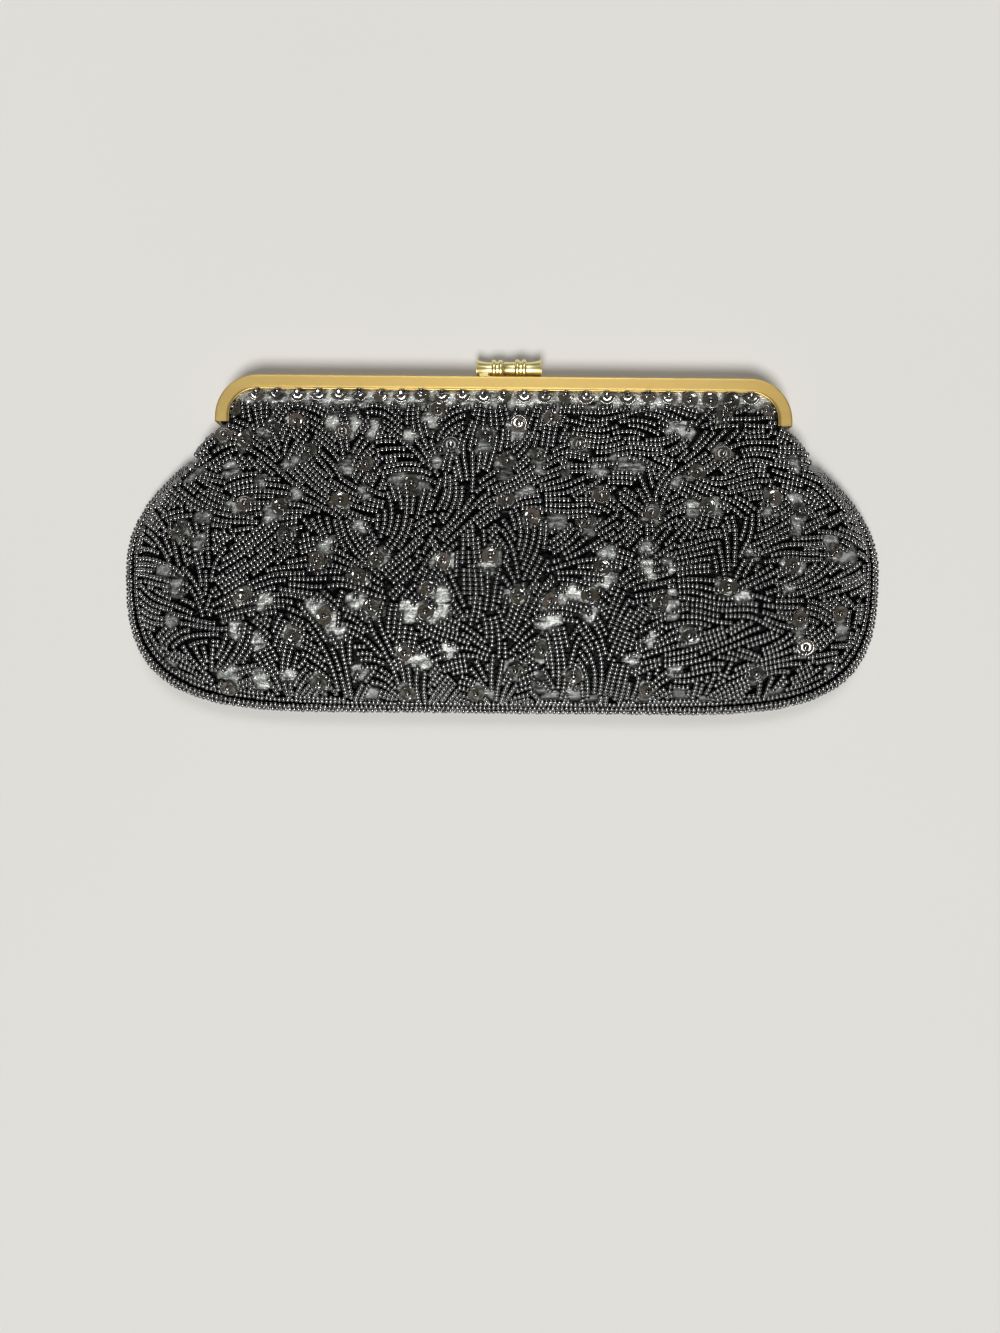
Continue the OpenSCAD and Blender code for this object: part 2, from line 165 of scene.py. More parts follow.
def skinHeight(t, s, d, front):
    k = inFrame(t)
    edge = purse["seamRise"] * smooth((t - hingeT + 3) / 3) * (1 - k) + (lipRise - d) * k
    if front:
        low = (purse["bellyRise"] - d) * np.power(
            np.maximum(0, 1 - np.power(np.clip(1 - t / bellyT, 0, 1), 2.4)), 0.55)
        high = lipRise - d + (purse["bellyRise"] - lipRise) * smooth(
            np.power(np.clip((channelT - t) / (channelT - bellyT), 0, 1), 0.8))
        full = np.where(t <= bellyT, low, high) - sagAt(t, s)
        boxy = smooth((t - bellyT) / (channelT - bellyT))
        profile = boxy * boxProfile(s) + (1 - boxy) * bellyProfile(s)
    else:
        full = (lipRise - d) * np.where(t < purse["backCurve"], rounded(1 - t / purse["backCurve"]), 1.0)
        profile = boxProfile(s)
    return edge + (full - edge) * profile


def heightAt(x, place, d, front):
    t = rowOf(place, d)
    return skinHeight(t, np.clip(x / np.maximum(1, halfWidth(t, d)), -1, 1), d, front)


# Points on the purse, in metres, from places on its front or back
def toRow(x, place, rise, front=True):
    sign = 1 if front else -1
    return np.stack([
        np.asarray(x, float) * mm,
        (np.asarray(place, float) - purse["overall"] / 2) * mm,
        (lipRise + sign * np.asarray(rise, float)) * mm,
    ], -1)


# For the front's fold, the start and end are worked out, a little earlier the deeper the layer lies;
# nothing uses them, and the piece only has its transform baked in, so it is not bent.
fold = {"tilt": math.radians(40), "start": 0.0, "end": 9.0}


def foldFront(piece, depth):
    aim = np.array([0, math.cos(fold["tilt"]), math.sin(fold["tilt"])])
    hinge = toRow(0, hingeT, 0)
    shift = depth * math.sin(fold["tilt"])
    ends = [tuple(hinge + aim * (fold[key] - shift) * mm) for key in ("start", "end")]
    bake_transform(piece)


# A socket that can be reckoned with, and a node tree that gives such sockets
class Wire:
    def __init__(self, tree, socket):
        self.tree = tree
        self.socket = socket

    def maths(self, operation, first, second=None):
        node = self.tree.nodes.new("ShaderNodeMath")
        node.operation = operation
        for place, value in enumerate((first, second)):
            if isinstance(value, Wire):
                self.tree.links.new(value.socket, node.inputs[place])
            elif value is not None:
                node.inputs[place].default_value = value
        return Wire(self.tree, node.outputs[0])

    def __add__(self, other):
        return self.maths("ADD", self, other)

    def __radd__(self, other):
        return self.maths("ADD", other, self)

    def __sub__(self, other):
        return self.maths("SUBTRACT", self, other)

    def __rsub__(self, other):
        return self.maths("SUBTRACT", other, self)

    def __mul__(self, other):
        return self.maths("MULTIPLY", self, other)

    def __rmul__(self, other):
        return self.maths("MULTIPLY", other, self)


class Board:
    def __init__(self, tree):
        self.tree = tree
        tree.nodes.clear()

    def add(self, kind, settings=None, values=None, out=0):
        node = self.tree.nodes.new(kind)
        for key, value in (settings or {}).items():
            if key == "stops":
                while len(node.color_ramp.elements) < len(value):
                    node.color_ramp.elements.new(0.5)
                for stop, (place, colour) in zip(node.color_ramp.elements, value):
                    stop.position = place
                    stop.color = (*colour, 1) if len(colour) == 3 else colour
            else:
                setattr(node, key, value)
        for key, value in (values or {}).items():
            if isinstance(value, Wire):
                self.tree.links.new(value.socket, node.inputs[key])
            else:
                node.inputs[key].default_value = value
        return Wire(self.tree, node.outputs[out]) if len(node.outputs) else node


# A material from a recipe that lays out its patterns and gives the values of the shader
def paint(name, recipe):
    material = bpy.data.materials.new(name)
    material.use_nodes = True
    board = Board(material.node_tree)
    surface = board.add("ShaderNodeBsdfPrincipled", values=recipe(board))
    board.add("ShaderNodeOutputMaterial", values={"Surface": surface})
    return material


def spread(board, fac, low, high):
    return board.add(
        "ShaderNodeMix", {"data_type": "RGBA"},
        {0: fac, 6: (*low, 1), 7: (*high, 1)}, out=2)


def objectPlace(board):
    return board.add("ShaderNodeTexCoord", out=3)


def attribute(board, name):
    return board.add("ShaderNodeAttribute", {"attribute_name": name}, out=2)


def noise(board, place, scale, detail=2.0, rough=0.5):
    return board.add("ShaderNodeTexNoise", values={
        "Vector": place, "Scale": scale, "Detail": detail, "Roughness": rough})


def stretched(board, place, scale, detail, rough=0.5, turn=0.0):
    drawn = board.add("ShaderNodeMapping", values={
        "Vector": place, "Rotation": (0.0, 0.0, turn), "Scale": scale})
    return noise(board, drawn, 1.0, detail, rough)


def threads(board, place, direction, scale, bend):
    return board.add("ShaderNodeTexWave", {"bands_direction": direction}, {
        "Vector": place, "Scale": scale, "Distortion": bend, "Detail": 1.0}, out=1)


def bump(board, height, strength, distance, under=None):
    values = {"Height": height, "Strength": strength, "Distance": distance}
    if under is not None:
        values["Normal"] = under
    return board.add("ShaderNodeBump", values=values)


def beadGlass(board):
    shade = attribute(board, "shade")
    haze = noise(board, objectPlace(board), 900.0, 1.0)
    colour = spread(board, shade, (0.0012, 0.0012, 0.0012), (0.005, 0.0047, 0.0045))
    return {
        "Base Color": colour,
        "Roughness": 0.04 + shade * 0.05 + haze * 0.04,
        "IOR": 2.05,
        "Specular IOR Level": 1.0,
        "Coat Weight": 0.2,
        "Coat Roughness": 0.04,
    }


# Black satin with painted light: pale painted highlights where the sheen mask is high, painted shade where it
# is low
def satinCloth(board):
    place = objectPlace(board)
    bare = attribute(board, "bare")
    pucker = noise(board, place, 300.0, 3.0, 0.6)
    drift = stretched(board, place, (130.0, 520.0, 260.0), 2.0, 0.6, 0.6)
    weave = threads(board, place, "DIAGONAL", 1500.0, 1.5)
    folded = bump(board, pucker * 0.6 + drift * 0.4, 1.0, 0.002)
    woven = bump(board, weave, 0.25, 0.0001, folded)
    # painted highlight: the colour rises from near-black to pale grey in streaks where the sheen mask and the
    # drift noise are high
    sheen = bare * (drift * 3.4 - 1.05)
    colour = spread(board, sheen, (0.003, 0.003, 0.003), (0.5, 0.52, 0.505))
    return {
        "Base Color": colour,
        # painted shade: where the sheen mask is low the satin is metallic with a near-black colour, so it
        # reflects almost nothing between the beads
        "Metallic": 0.9 - bare * 0.45,
        "Roughness": 0.24 + pucker * 0.16,
        "Normal": woven,
    }


def smokeFilm(board):
    shade = attribute(board, "shade")
    tint = board.add("ShaderNodeValToRGB", {"stops": [
        (0.0, (0.022, 0.021, 0.02)), (0.4, (0.075, 0.063, 0.043)),
        (0.7, (0.045, 0.045, 0.034)), (1.0, (0.12, 0.096, 0.078))]}, {"Fac": shade})
    grain = noise(board, objectPlace(board), 1400.0, 1.0)
    return {
        "Base Color": tint,
        "Roughness": 0.1 + grain * 0.08,
        "IOR": 1.8,
        "Coat Weight": 1.0,
        "Coat Roughness": 0.05,
        "Alpha": 0.62 + shade * 0.2,
    }


def bandBrass(board):
    place = objectPlace(board)
    cloud = noise(board, place, 35.0, 3.0, 0.6)
    rub = stretched(board, place, (60.0, 700.0, 700.0), 2.0, 0.7)
    speck = board.add("ShaderNodeValToRGB", {"stops": [
        (0.0, (1, 1, 1)), (0.62, (1, 1, 1)), (0.7, (0, 0, 0))]},
        {"Fac": noise(board, place, 420.0, 2.0)})
    colour = spread(board, cloud, (0.71, 0.485, 0.15), (0.82, 0.61, 0.225))
    return {
        "Base Color": colour,
        "Metallic": 1.0,
        "Roughness": 0.4 + rub * 0.12 + speck * -0.04,
        "Normal": bump(board, rub, 0.12, 0.00008),
    }


def knobBrass(board):
    place = objectPlace(board)
    cloud = noise(board, place, 120.0, 2.0)
    turned = stretched(board, place, (4200.0, 120.0, 120.0), 1.0)
    colour = spread(board, cloud, (0.95, 0.79, 0.34), (0.98, 0.88, 0.46))
    return {
        "Base Color": colour,
        "Metallic": 1.0,
        "Roughness": 0.27 + cloud * 0.12,
        "Normal": bump(board, turned, 0.15, 0.00005),
    }


def pinBrass(board):
    cloud = noise(board, objectPlace(board), 600.0, 2.0)
    return {
        "Base Color": spread(board, cloud, (0.42, 0.3, 0.13), (0.6, 0.45, 0.22)),
        "Metallic": 1.0,
        "Roughness": 0.35 + cloud * 0.2,
    }


def wovenCloth(low, high, scale, rough):
    def recipe(board):
        place = objectPlace(board)
        cloud = noise(board, place, 90.0, 3.0)
        weave = threads(board, place, "X", scale, 0.6) * threads(board, place, "Y", scale, 0.6)
        return {
            "Base Color": spread(board, cloud * 0.6 + weave * 0.4, low, high),
            "Roughness": rough + cloud * 0.1,
            "Sheen Weight": 0.2,
            "Normal": bump(board, weave, 0.3, 0.00015),
        }
    return recipe


paints = {
    "beads": paint("blackBeadGlass", beadGlass),
    "satin": paint("blackSatin", satinCloth),
    "sequins": paint("smokeSequin", smokeFilm),
    "band": paint("satinBrass", bandBrass),
    "knob": paint("polishedBrass", knobBrass),
    "pin": paint("dullBrass", pinBrass),
    "stiff": paint("stiffCloth", wovenCloth((0.5, 0.47, 0.4), (0.72, 0.69, 0.62), 420.0, 0.8)),
    "lining": paint("liningCloth", wovenCloth((0.012, 0.012, 0.014), (0.03, 0.03, 0.034), 700.0, 0.45)),
    "cord": paint("cottonCord", wovenCloth((0.6, 0.55, 0.44), (0.8, 0.76, 0.66), 500.0, 0.85)),
}
print("materials made")


def placed(name, data):
    thing = bpy.data.objects.new(name, data)
    bpy.context.scene.collection.objects.link(thing)
    return thing


def newPiece(name, points, faces, material):
    mesh = bpy.data.meshes.new(name)
    mesh.from_pydata([tuple(p) for p in points], [], [tuple(f) for f in faces])
    mesh.validate()
    mesh.shade_smooth()
    mesh.materials.append(material)
    return placed(name, mesh)


def faceOutwards(piece, merge=0.0):
    mesh = bmesh.new()
    mesh.from_mesh(piece.data)
    if merge:
        bmesh.ops.remove_doubles(mesh, verts=mesh.verts, dist=merge)
    bmesh.ops.recalc_face_normals(mesh, faces=mesh.faces)
    mesh.to_mesh(piece.data)
    mesh.free()


def unit(vectors):
    return vectors / np.linalg.norm(vectors, axis=1)[:, None]


def turns(sides):
    return [math.tau * k / sides for k in range(sides)]


def tubeFaces(rows, sides):
    return [
        (i * sides + k, i * sides + (k + 1) % sides, (i + 1) * sides + (k + 1) % sides, (i + 1) * sides + k)
        for i in range(rows - 1) for k in range(sides)
    ]


def closedSkin(outer, inner):
    rows, columns = outer.shape[:2]
    count = rows * columns
    points = np.concatenate([outer.reshape(-1, 3), inner.reshape(-1, 3)])
    index = np.arange(count).reshape(rows, columns)
    a, b = index[:-1, :-1].ravel(), index[:-1, 1:].ravel()
    c, d = index[1:, 1:].ravel(), index[1:, :-1].ravel()
    faces = np.concatenate([np.stack([a, b, c, d], 1), np.stack([d, c, b, a], 1) + count])
    rims = []
    for line in (index[0, ::-1], index[-1, :], index[:, 0], index[::-1, -1]):
        rims.append(np.stack([line[:-1], line[1:], line[1:] + count, line[:-1] + count], 1))
    return points, np.concatenate([faces] + rims)


def rowPlaces(count, top):
    low = bellyT * (1 - np.cos(np.linspace(0, math.pi / 2, count // 2)))
    high = np.linspace(bellyT, channelT - 1, count // 3)[1:]
    frameRows = np.concatenate([
        np.linspace(channelT - 1, channelT + 0.2, 5)[1:],
        cornerT + (top - cornerT) * np.sin(np.linspace(0, math.pi / 2, 9)),
    ])
    return np.concatenate([low, high, frameRows])


def columnPlaces(count):
    half = np.sin(np.linspace(0, math.pi / 2, count // 2 + 1))
    return np.concatenate([-half[:0:-1], half])


rippleSize = 4.5


def clothLayer(name, sizes, front):
    t = rowPlaces(sizes["rows"], purse["length"] - 0.9)[:, None]
    s = columnPlaces(sizes["columns"])[None, :]
    outer, inner = sizes["depths"]
    skins = []
    for d in (outer, inner):
        x = s * halfWidth(t, d)
        place = rowPlace(t, d) + 0 * s
        rise = skinHeight(t, s, d, front)
        if d == outer:
            calm = smooth((channelT - t) / 6) * smooth((1 - np.abs(s)) / 0.05) * smooth(t / 4)
            waves = softNoise(x, place, 11 if front else 12, rippleSize)
            rise = rise - sizes["ripple"] * calm * np.clip(0.5 + 0.5 * waves, 0, 1)
        skins.append(toRow(x, place, rise, front))
    points, faces = closedSkin(*skins)
    if not front:
        faces = faces[:, ::-1]
    return newPiece(name, points, faces, paints[sizes["paint"]])


# Cloth layers: depths of their two faces under the beads' skin, mesh rows and columns, height of the ripple
layers = {
    "satin": {
        "depths": (2.02, 2.32), "rows": 130, "columns": 190, "ripple": 0.24,
        "paint": "satin"},
    "interlining": {
        "depths": (2.42, 3.5), "rows": 50, "columns": 70, "ripple": 0.0,
        "paint": "stiff"},
    "lining": {
        "depths": (3.62, 3.95), "rows": 70, "columns": 100, "ripple": 0.0,
        "paint": "lining"},
}
for cloth, sizes in layers.items():
    for side in ("front", "back"):
        piece = clothLayer(side + cloth.capitalize(), sizes, side == "front")
        if side == "front":
            foldFront(piece, sizes["depths"][0])
            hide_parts(*[f"front_{cloth}_{part}" for part in ("body", "fold", "flap")])
        else:
            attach(piece, "bag")
            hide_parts(f"back_{cloth}")
print("cloth layers made")


# Beadwork: sizes in millimetres and angles in degrees
beadwork = {
    "width": 1.8,
    "length": 1.2,
    "pitch": 1.27,
    "apart": 1.64,  # from strand to strand
    "near": 1.33,  # nearest that two beads lie
    "depth": 1.0,
    "lift": 0.06,
    "liftMost": 0.15,
    "steepest": 3,
    "turn": 34,  # sharpest bend of a strand
    "cross": 14,  # the same where it leaves its leaf
    "leaf": 17,  # spread of one leaf of a spray
    "fan": 0.45,  # how far the strands of a leaf fan out
    "arch": 42,
    "lean": 1.25,  # widest lean, as a share of the spray's spread
    "stem": 0.62,  # length of the spray's middle line, as a share of its reach
    "lead": 0.12,
    "sway": 0.3,
    "swaySize": 24.0,
    "ragged": (0.42, 0.3),  # rims of the bare patches
    "longest": 17,  # beads in a strand
    "edge": 5.4,  # free margins: at the frame's inner edge, at its top, at the seam
    "top": 8.8,
    "margin": 0.15,
    "seed": 7,
}
# Sprays are leafy fans: x and t of the root, heading, spread and reach
sprays = [
    (-65.5, 72.5, 125, 75, 26), (-48.5, 62, 160, 35, 36), (-86, 33, 95, 80, 28), (-83, 36, 20, 25, 36),
    (-83.5, 58, 175, 35, 20), (-95.5, 45, 130, 50, 20), (-88, 26, 185, 40, 20), (-87.5, 10, 150, 50, 22),
    (-86, 4, 60, 45, 24), (-47, 11.5, 95, 65, 26), (-63, 4, 100, 60, 22), (-36.5, 42, 150, 40, 30),
    (-70.5, 79, 150, 45, 18), (-46, 71.5, 95, 50, 20), (-22, 75, 120, 70, 24), (-18, 49, 58, 30, 44),
    (-3.5, 65.5, 35, 30, 36), (-33.5, 42, 55, 35, 28), (-9, 33.5, 95, 45, 30), (-1.5, 3, 90, 80, 32),
    (-1.5, 19, 170, 35, 26), (1, 22, 40, 35, 24), (8, 38, 90, 50, 24), (16.5, 45, 15, 30, 24),
    (10.5, 62.5, 5, 30, 24), (30.5, 5, 90, 35, 32), (17, 8, 100, 45, 20), (-24, 4.5, 110, 60, 24),
    (-33.5, 19, 130, 60, 20), (25.5, 75, 5, 25, 34), (28.5, 87.5, 10, 20, 26), (42.5, 57, 80, 60, 22),
    (54.5, 72, 35, 30, 30), (54.5, 69, -20, 25, 24), (42, 42.5, 35, 35, 28), (68.5, 42.5, 75, 45, 24),
    (74, 51.5, 10, 30, 34), (54, 34, 5, 25, 40), (77.5, 34, 5, 35, 30), (45.5, 16.5, 10, 25, 40),
    (81.5, 17, 15, 40, 28), (41, 5, 60, 40, 24), (59, 3.5, 55, 40, 24), (80, 5, 50, 40, 24),
    (100.5, 17, 60, 40, 18), (86.5, 69.5, -10, 30, 20), (67, 87.5, 20, 40, 18),
]
# Loose sequins: those on the lower front, then those above the hinges
lowerSpots = [
    (-81, 7.5), (-53.5, 9.5), (-27.5, 6.5), (-7.5, 6.5), (11, 10), (42.5, 7.5), (-28, 18), (4, 13.5),
    (11.5, 19), (21, 12), (74.5, 13), (-60.5, 23), (54, 24), (89, 21), (-75.5, 34), (-51, 28.5),
    (-37.5, 31), (-22, 30), (4.5, 34.5), (13.5, 33.5), (45.5, 33), (86.5, 29), (99, 31), (-41, 40),
    (-21, 36.5), (25, 35), (65, 38), (-53, 44.5), (-36, 45), (-17, 44.5), (-3.5, 46), (28.5, 43),
    (84, 44.5), (97.5, 49), (-94.5, 53), (-62.5, 52), (8.5, 57.5), (24.5, 55.5), (-75, 61), (-64.5, 60),
    (-47, 62), (1, 62.5), (28.5, 64), (43, 59), (59, 61.5), (78.5, 64), (86, 60.5),
]
upperSpots = [
    (-19.5, 90), (-5.5, 83), (4.5, 86.5), (14, 88), (-15.5, 79.5), (-26.5, 67.5), (10, 76), (1, 74.5),
    (22.5, 80), (-47.5, 83.5), (-57, 77), (-61.5, 86.5), (-82.5, 82), (-40, 73), (-68.5, 84.5),
    (-76.5, 80.5), (-90, 72.5), (64.5, 89.5), (56.5, 71.5), (64.5, 77.5),
]
# Satin left without beads, which also gets the painted highlight: x and t of its middle, and radius
patches = [
    (-86.5, 84.5, 2), (-74, 83, 1.6), (-62, 73.5, 1.8), (-51, 87, 1.8), (-45, 85.5, 2), (-38.5, 84, 1.8),
    (-45.5, 73, 1.8), (-80, 71.5, 1.8), (-70.5, 68, 1.4), (-87.5, 57.5, 1.6), (-79, 60.5, 1.6),
    (-67, 60, 1.4), (-67.5, 57, 1.2), (-60, 64.5, 1.5), (-30.5, 68.5, 1.8), (-23.5, 67, 1.5),
    (-40.5, 65, 1.6), (-41, 54.5, 1.6), (-88.5, 50, 1.8), (-50.5, 48.5, 1.8), (-99.5, 42, 1.8),
    (-95.5, 37, 2.2), (-69, 32.5, 1.8), (-53.5, 31, 2.3), (-48, 24, 1.8), (-42, 32.5, 2), (-27.5, 30, 2.2),
    (-18.5, 30, 2.2), (-17, 35, 1.5), (-77.5, 24.5, 1.8), (-71, 21, 1.8), (-97.5, 27, 1.4),
    (-102, 18.5, 1.4), (-99.5, 13.5, 1.8), (-80.5, 11, 2.4), (-71.5, 10, 2.2), (-62.5, 11, 1.5),
    (-93.5, 7.5, 1.5), (-41, 12.5, 1.6), (-23.5, 16, 2), (-15.5, 19, 1.6), (-4.5, 43, 1.6), (-6, 79, 1.6),
    (-27.5, 82.5, 1.5), (-20, 74.5, 1.5), (-21.5, 87, 1.8), (-38.5, 5, 1.8), (-7.5, 5.5, 2), (-3.5, 6, 1.4),
    (-93, 69, 1.5), (3.5, 83.5, 1.8), (0.5, 71, 1.4), (11, 72.5, 1.5), (6.5, 65.5, 1.5), (15.5, 56.5, 2),
    (34, 75, 2), (39, 73.5, 1.8), (27.5, 72, 1.8), (18.5, 72.5, 1.4), (53.5, 84.5, 2), (49.5, 85.5, 1.5),
    (85.5, 75, 1.8), (84.5, 87.5, 1.8), (54.5, 61.5, 2), (61.5, 61.5, 1.8), (50.5, 69, 1.5),
    (85.5, 63.5, 2), (85.5, 56, 1.6), (78, 60, 1.5), (102, 48, 2.4), (96, 52, 1.6), (30.5, 47.5, 1.5),
    (30.5, 39.5, 1.8), (41.5, 49, 1.6), (42, 42.5, 2.2), (48, 44, 1.6), (72, 47, 1.5), (19.5, 35, 2.2),
    (13.5, 27.5, 2.2), (25.5, 29.5, 1.5), (48.5, 34, 1.8), (48.5, 30.5, 1.4), (70, 35, 1.5),
    (83.5, 38, 1.4), (86.5, 44, 1.4), (43, 22.5, 1.4), (101, 25.5, 1.6), (107.5, 21, 1.6),
    (87.5, 25.5, 1.3), (98, 13.5, 1.6), (81.5, 6.5, 1.8), (88, 4.5, 1.5), (60, 3.5, 1.8), (64.5, 3.5, 1.8),
    (53, 6, 1.5), (45.5, 3.5, 1.5), (42, 7.5, 1.6), (14.5, 5.5, 1.6), (21.5, 6.5, 1.5), (27.5, 4, 1.5),
    (38.5, 16.5, 1.4), (50.5, 13.5, 1.4),
]


# Rows along the side wall: height, and how much of the row is there
wall = {
    "rows": ((1.8, 9.0), (3.4, -0.15)),
    "middle": 40.0,
    "from": 19.5,
    "pitch": 1.28,
    "near": 1.15,
    "gapSize": 16.0,
}


def rimPath(depth, top):
    t = np.concatenate([
        [0.3], bellyT * (1 - np.cos(np.linspace(0.12, math.pi / 2, 60))),
        np.linspace(bellyT, top, 60)[1:],
    ])
    x = halfWidth(t, depth)
    place = rowPlace(t, depth)
    half = np.stack([x, place], 1)
    flat = np.stack([np.linspace(-x[0], x[0], 60)[1:-1], np.full(58, place[0])], 1)
    return np.concatenate([half[::-1] * (-1, 1), flat, half])


# A line round the bag at one height on its side wall, from shoulder to shoulder past the bottom
def wallPath(height, depth, front):
    angle = np.radians(np.linspace(wall["from"], -180 - wall["from"], 1200))
    near, far = np.full(len(angle), 25.0), np.full(len(angle), 125.0)
    for _ in range(34):
        reach = (near + far) / 2
        x, place = reach * np.cos(angle), wall["middle"] + reach * np.sin(angle)
        t = rowOf(place, depth)
        inside = (t > 0) & (np.abs(x) < halfWidth(np.maximum(t, 0), depth))
        high = inside & (heightAt(x, np.maximum(place, 0.01), depth, front) >= height)
        near, far = np.where(high, reach, near), np.where(high, far, reach)
    return np.stack([near * np.cos(angle), wall["middle"] + near * np.sin(angle)], 1)


def evenly(path, step):
    lengths = np.concatenate([[0], np.cumsum(np.linalg.norm(np.diff(path, axis=0), axis=1))])
    at = np.arange(step / 2, lengths[-1], step)

    def along(places):
        return np.stack([np.interp(places, lengths, path[:, k]) for k in range(path.shape[1])], 1)

    aim = along(at + 0.3) - along(at - 0.3)
    return along(at), unit(aim)


# The ground the beads are sewn to: height, slopes, where it is free, heading, and the leaf it belongs to
class Ground:
    cell = 0.5
    left = -115.0

    def __init__(self, plan, fans, holes, front):
        x, y = np.meshgrid(np.arange(self.left, 115.01, self.cell), np.arange(0, 101.01, self.cell))
        relief = heightAt(x, y, plan["depth"], front)
        slopeY, slopeX = np.gradient(relief, self.cell)
        t = rowOf(y, plan["depth"])
        k = smooth((t - channelT + 2) / 1.2)
        half = (halfWidth(t, plan["depth"]) - plan["margin"]) * (1 - k) + archHalf(t, plan["edge"]) * k
        half = np.where(t > channelT, archHalf(t, plan["edge"]), half)
        free = (t > 0.1) & (np.abs(x) < half) & (y < purse["length"] - plan["top"])
        for holeX, holeY, reach in holes:
            dx, dy = x - holeX, y - holeY
            turn = np.arctan2(dy, dx)
            wide, fine = plan["ragged"]
            ragged = 1 + wide * np.sin(2 * turn + holeX) + fine * np.sin(3 * turn + holeY)
            free &= np.hypot(dx, dy) > reach * ragged
        best = np.full_like(x, 1e9)
        heading = np.zeros_like(x)
        family = np.zeros_like(x)
        most = plan["lean"]
        for number, (rootX, rootY, aim, span, reach) in enumerate(fans):
            a = math.radians(aim)
            dx, dy = x - rootX, y - rootY
            u = dx * math.cos(a) + dy * math.sin(a)
            v = dy * math.cos(a) - dx * math.sin(a)
            gap = np.hypot(u - np.clip(u, 0, plan["stem"] * reach), v) - plan["lead"] * reach
            lean = np.clip(v / (0.5 * reach * (0.3 + np.clip(u, 0, None) / reach)), -most, most)
            leaves = max(2, round(span / plan["leaf"]))
            leaf = np.minimum(leaves - 1, np.floor((lean + most) / (2 * most) * leaves))
            middle = (leaf + 0.5) / leaves * 2 * most - most
            nearer = gap < best
            best = np.where(nearer, gap, best)
            fanned = middle + plan["fan"] * (lean - middle)
            droop = math.radians(plan["arch"]) * np.sign(middle + 0.01) * (np.clip(u / reach, 0, 1.2) - 0.4)
            heading = np.where(nearer, a + math.radians(span) * fanned + droop, heading)
            family = np.where(nearer, number * 10 + leaf, family)
        heading = heading + plan["sway"] * softNoise(x, y, plan["seed"], plan["swaySize"])
        steep = plan["steepest"]
        slopes = [np.clip(slope, -steep, steep) for slope in (slopeX, slopeY)]
        grids = (relief, *slopes, free, heading, family)
        self.grids = [grid.tolist() for grid in grids]
        self.rows, self.columns = x.shape

    def at(self, x, y):
        row, column = int(y / self.cell + 0.5), int((x - self.left) / self.cell + 0.5)
        if not (0 <= row < self.rows and 0 <= column < self.columns):
            return None
        return [grid[row][column] for grid in self.grids]


# The beads that are sewn, in bins so that those nearby are found fast
class Sewn:
    size = 1.8

    def __init__(self):
        self.bins = {}
        self.beads = []

    def put(self, x, y, z, angle):
        key = (int(x // self.size), int(y // self.size))
        self.bins.setdefault(key, []).append((x, y, z))
        self.beads.append((x, y, angle))

    def clear(self, x, y, z, reach):
        i, j = int(x // self.size), int(y // self.size)
        limit = reach * reach
        for a in (i - 1, i, i + 1):
            for b in (j - 1, j, j + 1):
                for beadX, beadY, beadZ in self.bins.get((a, b), ()):
                    if (beadX - x) ** 2 + (beadY - y) ** 2 + (beadZ - z) ** 2 < limit:
                        return False
        return True


# Strands follow the headings of the sprays, each a strand's width from the one before
def sewBeads(plan, fans, holes, front):
    rnd = random.Random(plan["seed"])
    ground = Ground(plan, fans, holes, front)
    sewn = Sewn()
    for number, (height, share) in enumerate(wall["rows"]):
        wallPoints, wallAim = evenly(wallPath(height, plan["depth"], front), wall["pitch"])
        broken = softNoise(wallPoints[:, 0], wallPoints[:, 1], plan["seed"] + number, wall["gapSize"])
        for point, aim, gap in zip(wallPoints, wallAim, broken):
            if gap < share and sewn.clear(point[0], point[1], height, wall["near"]):
                sewn.put(point[0], point[1], height, math.atan2(aim[1], aim[0]))

    def walk(x, y, sign, family, most):
        line = []
        last = None
        while len(line) < most:
            here = ground.at(x, y)
            if here is None:
                break
            a = here[4] + (math.pi if sign < 0 else 0)
            if last is not None:
                bend = abs(math.degrees(math.atan2(math.sin(a - last), math.cos(a - last))))
                if bend > plan["turn"] or (here[5] != family and bend > plan["cross"]):
                    break
            climb = here[1] * math.cos(a) + here[2] * math.sin(a)
            step = plan["pitch"] / math.sqrt(1 + climb * climb)
            x, y = x + step * math.cos(a), y + step * math.sin(a)
            there = ground.at(x, y)
            if there is None or not there[3] or not sewn.clear(x, y, there[0], plan["near"]):
                break
            line.append((x, y, there[0], a))
            last = a
        return line

    queue = deque()
    for rootX, rootY, aim, span, reach in fans:
        a = math.radians(aim)
        queue.append((rootX + 2 * math.cos(a), rootY + 2 * math.sin(a)))
    lattice = [(x, y) for x in np.arange(-113, 113.1, 1.0) for y in np.arange(1, 96, 1.0)]
    rnd.shuffle(lattice)
    for reach, least in ((plan["apart"] * 0.97, 4), (plan["near"], 3), (plan["near"], 2)):
        spare = deque(lattice)
        while queue or spare:
            x, y = (queue or spare).popleft()
            here = ground.at(x, y)
            if here is None or not here[3] or not sewn.clear(x, y, here[0], reach):
                continue
            most = rnd.randint(plan["longest"] // 3, plan["longest"])
            ahead = walk(x, y, 1, here[5], most)
            back = walk(x, y, -1, here[5], most - len(ahead))
            line = [(p[0], p[1], p[2], p[3] + math.pi) for p in back[::-1]]
            line += [(x, y, here[0], here[4])] + ahead
            if len(line) < least:
                continue
            for point in line:
                sewn.put(*point)
            apart = plan["apart"] * rnd.choice((1.0, 1.0, 1.0, 1.0, 1.2))
            for px, py, _, a in line[::3]:
                there = ground.at(px, py)
                for side in (1, -1):
                    nx, ny = -math.sin(a) * side, math.cos(a) * side
                    climb = there[1] * nx + there[2] * ny
                    step = apart / math.sqrt(1 + climb * climb)
                    queue.append((px + nx * step, py + ny * step))
    return sewn.beads


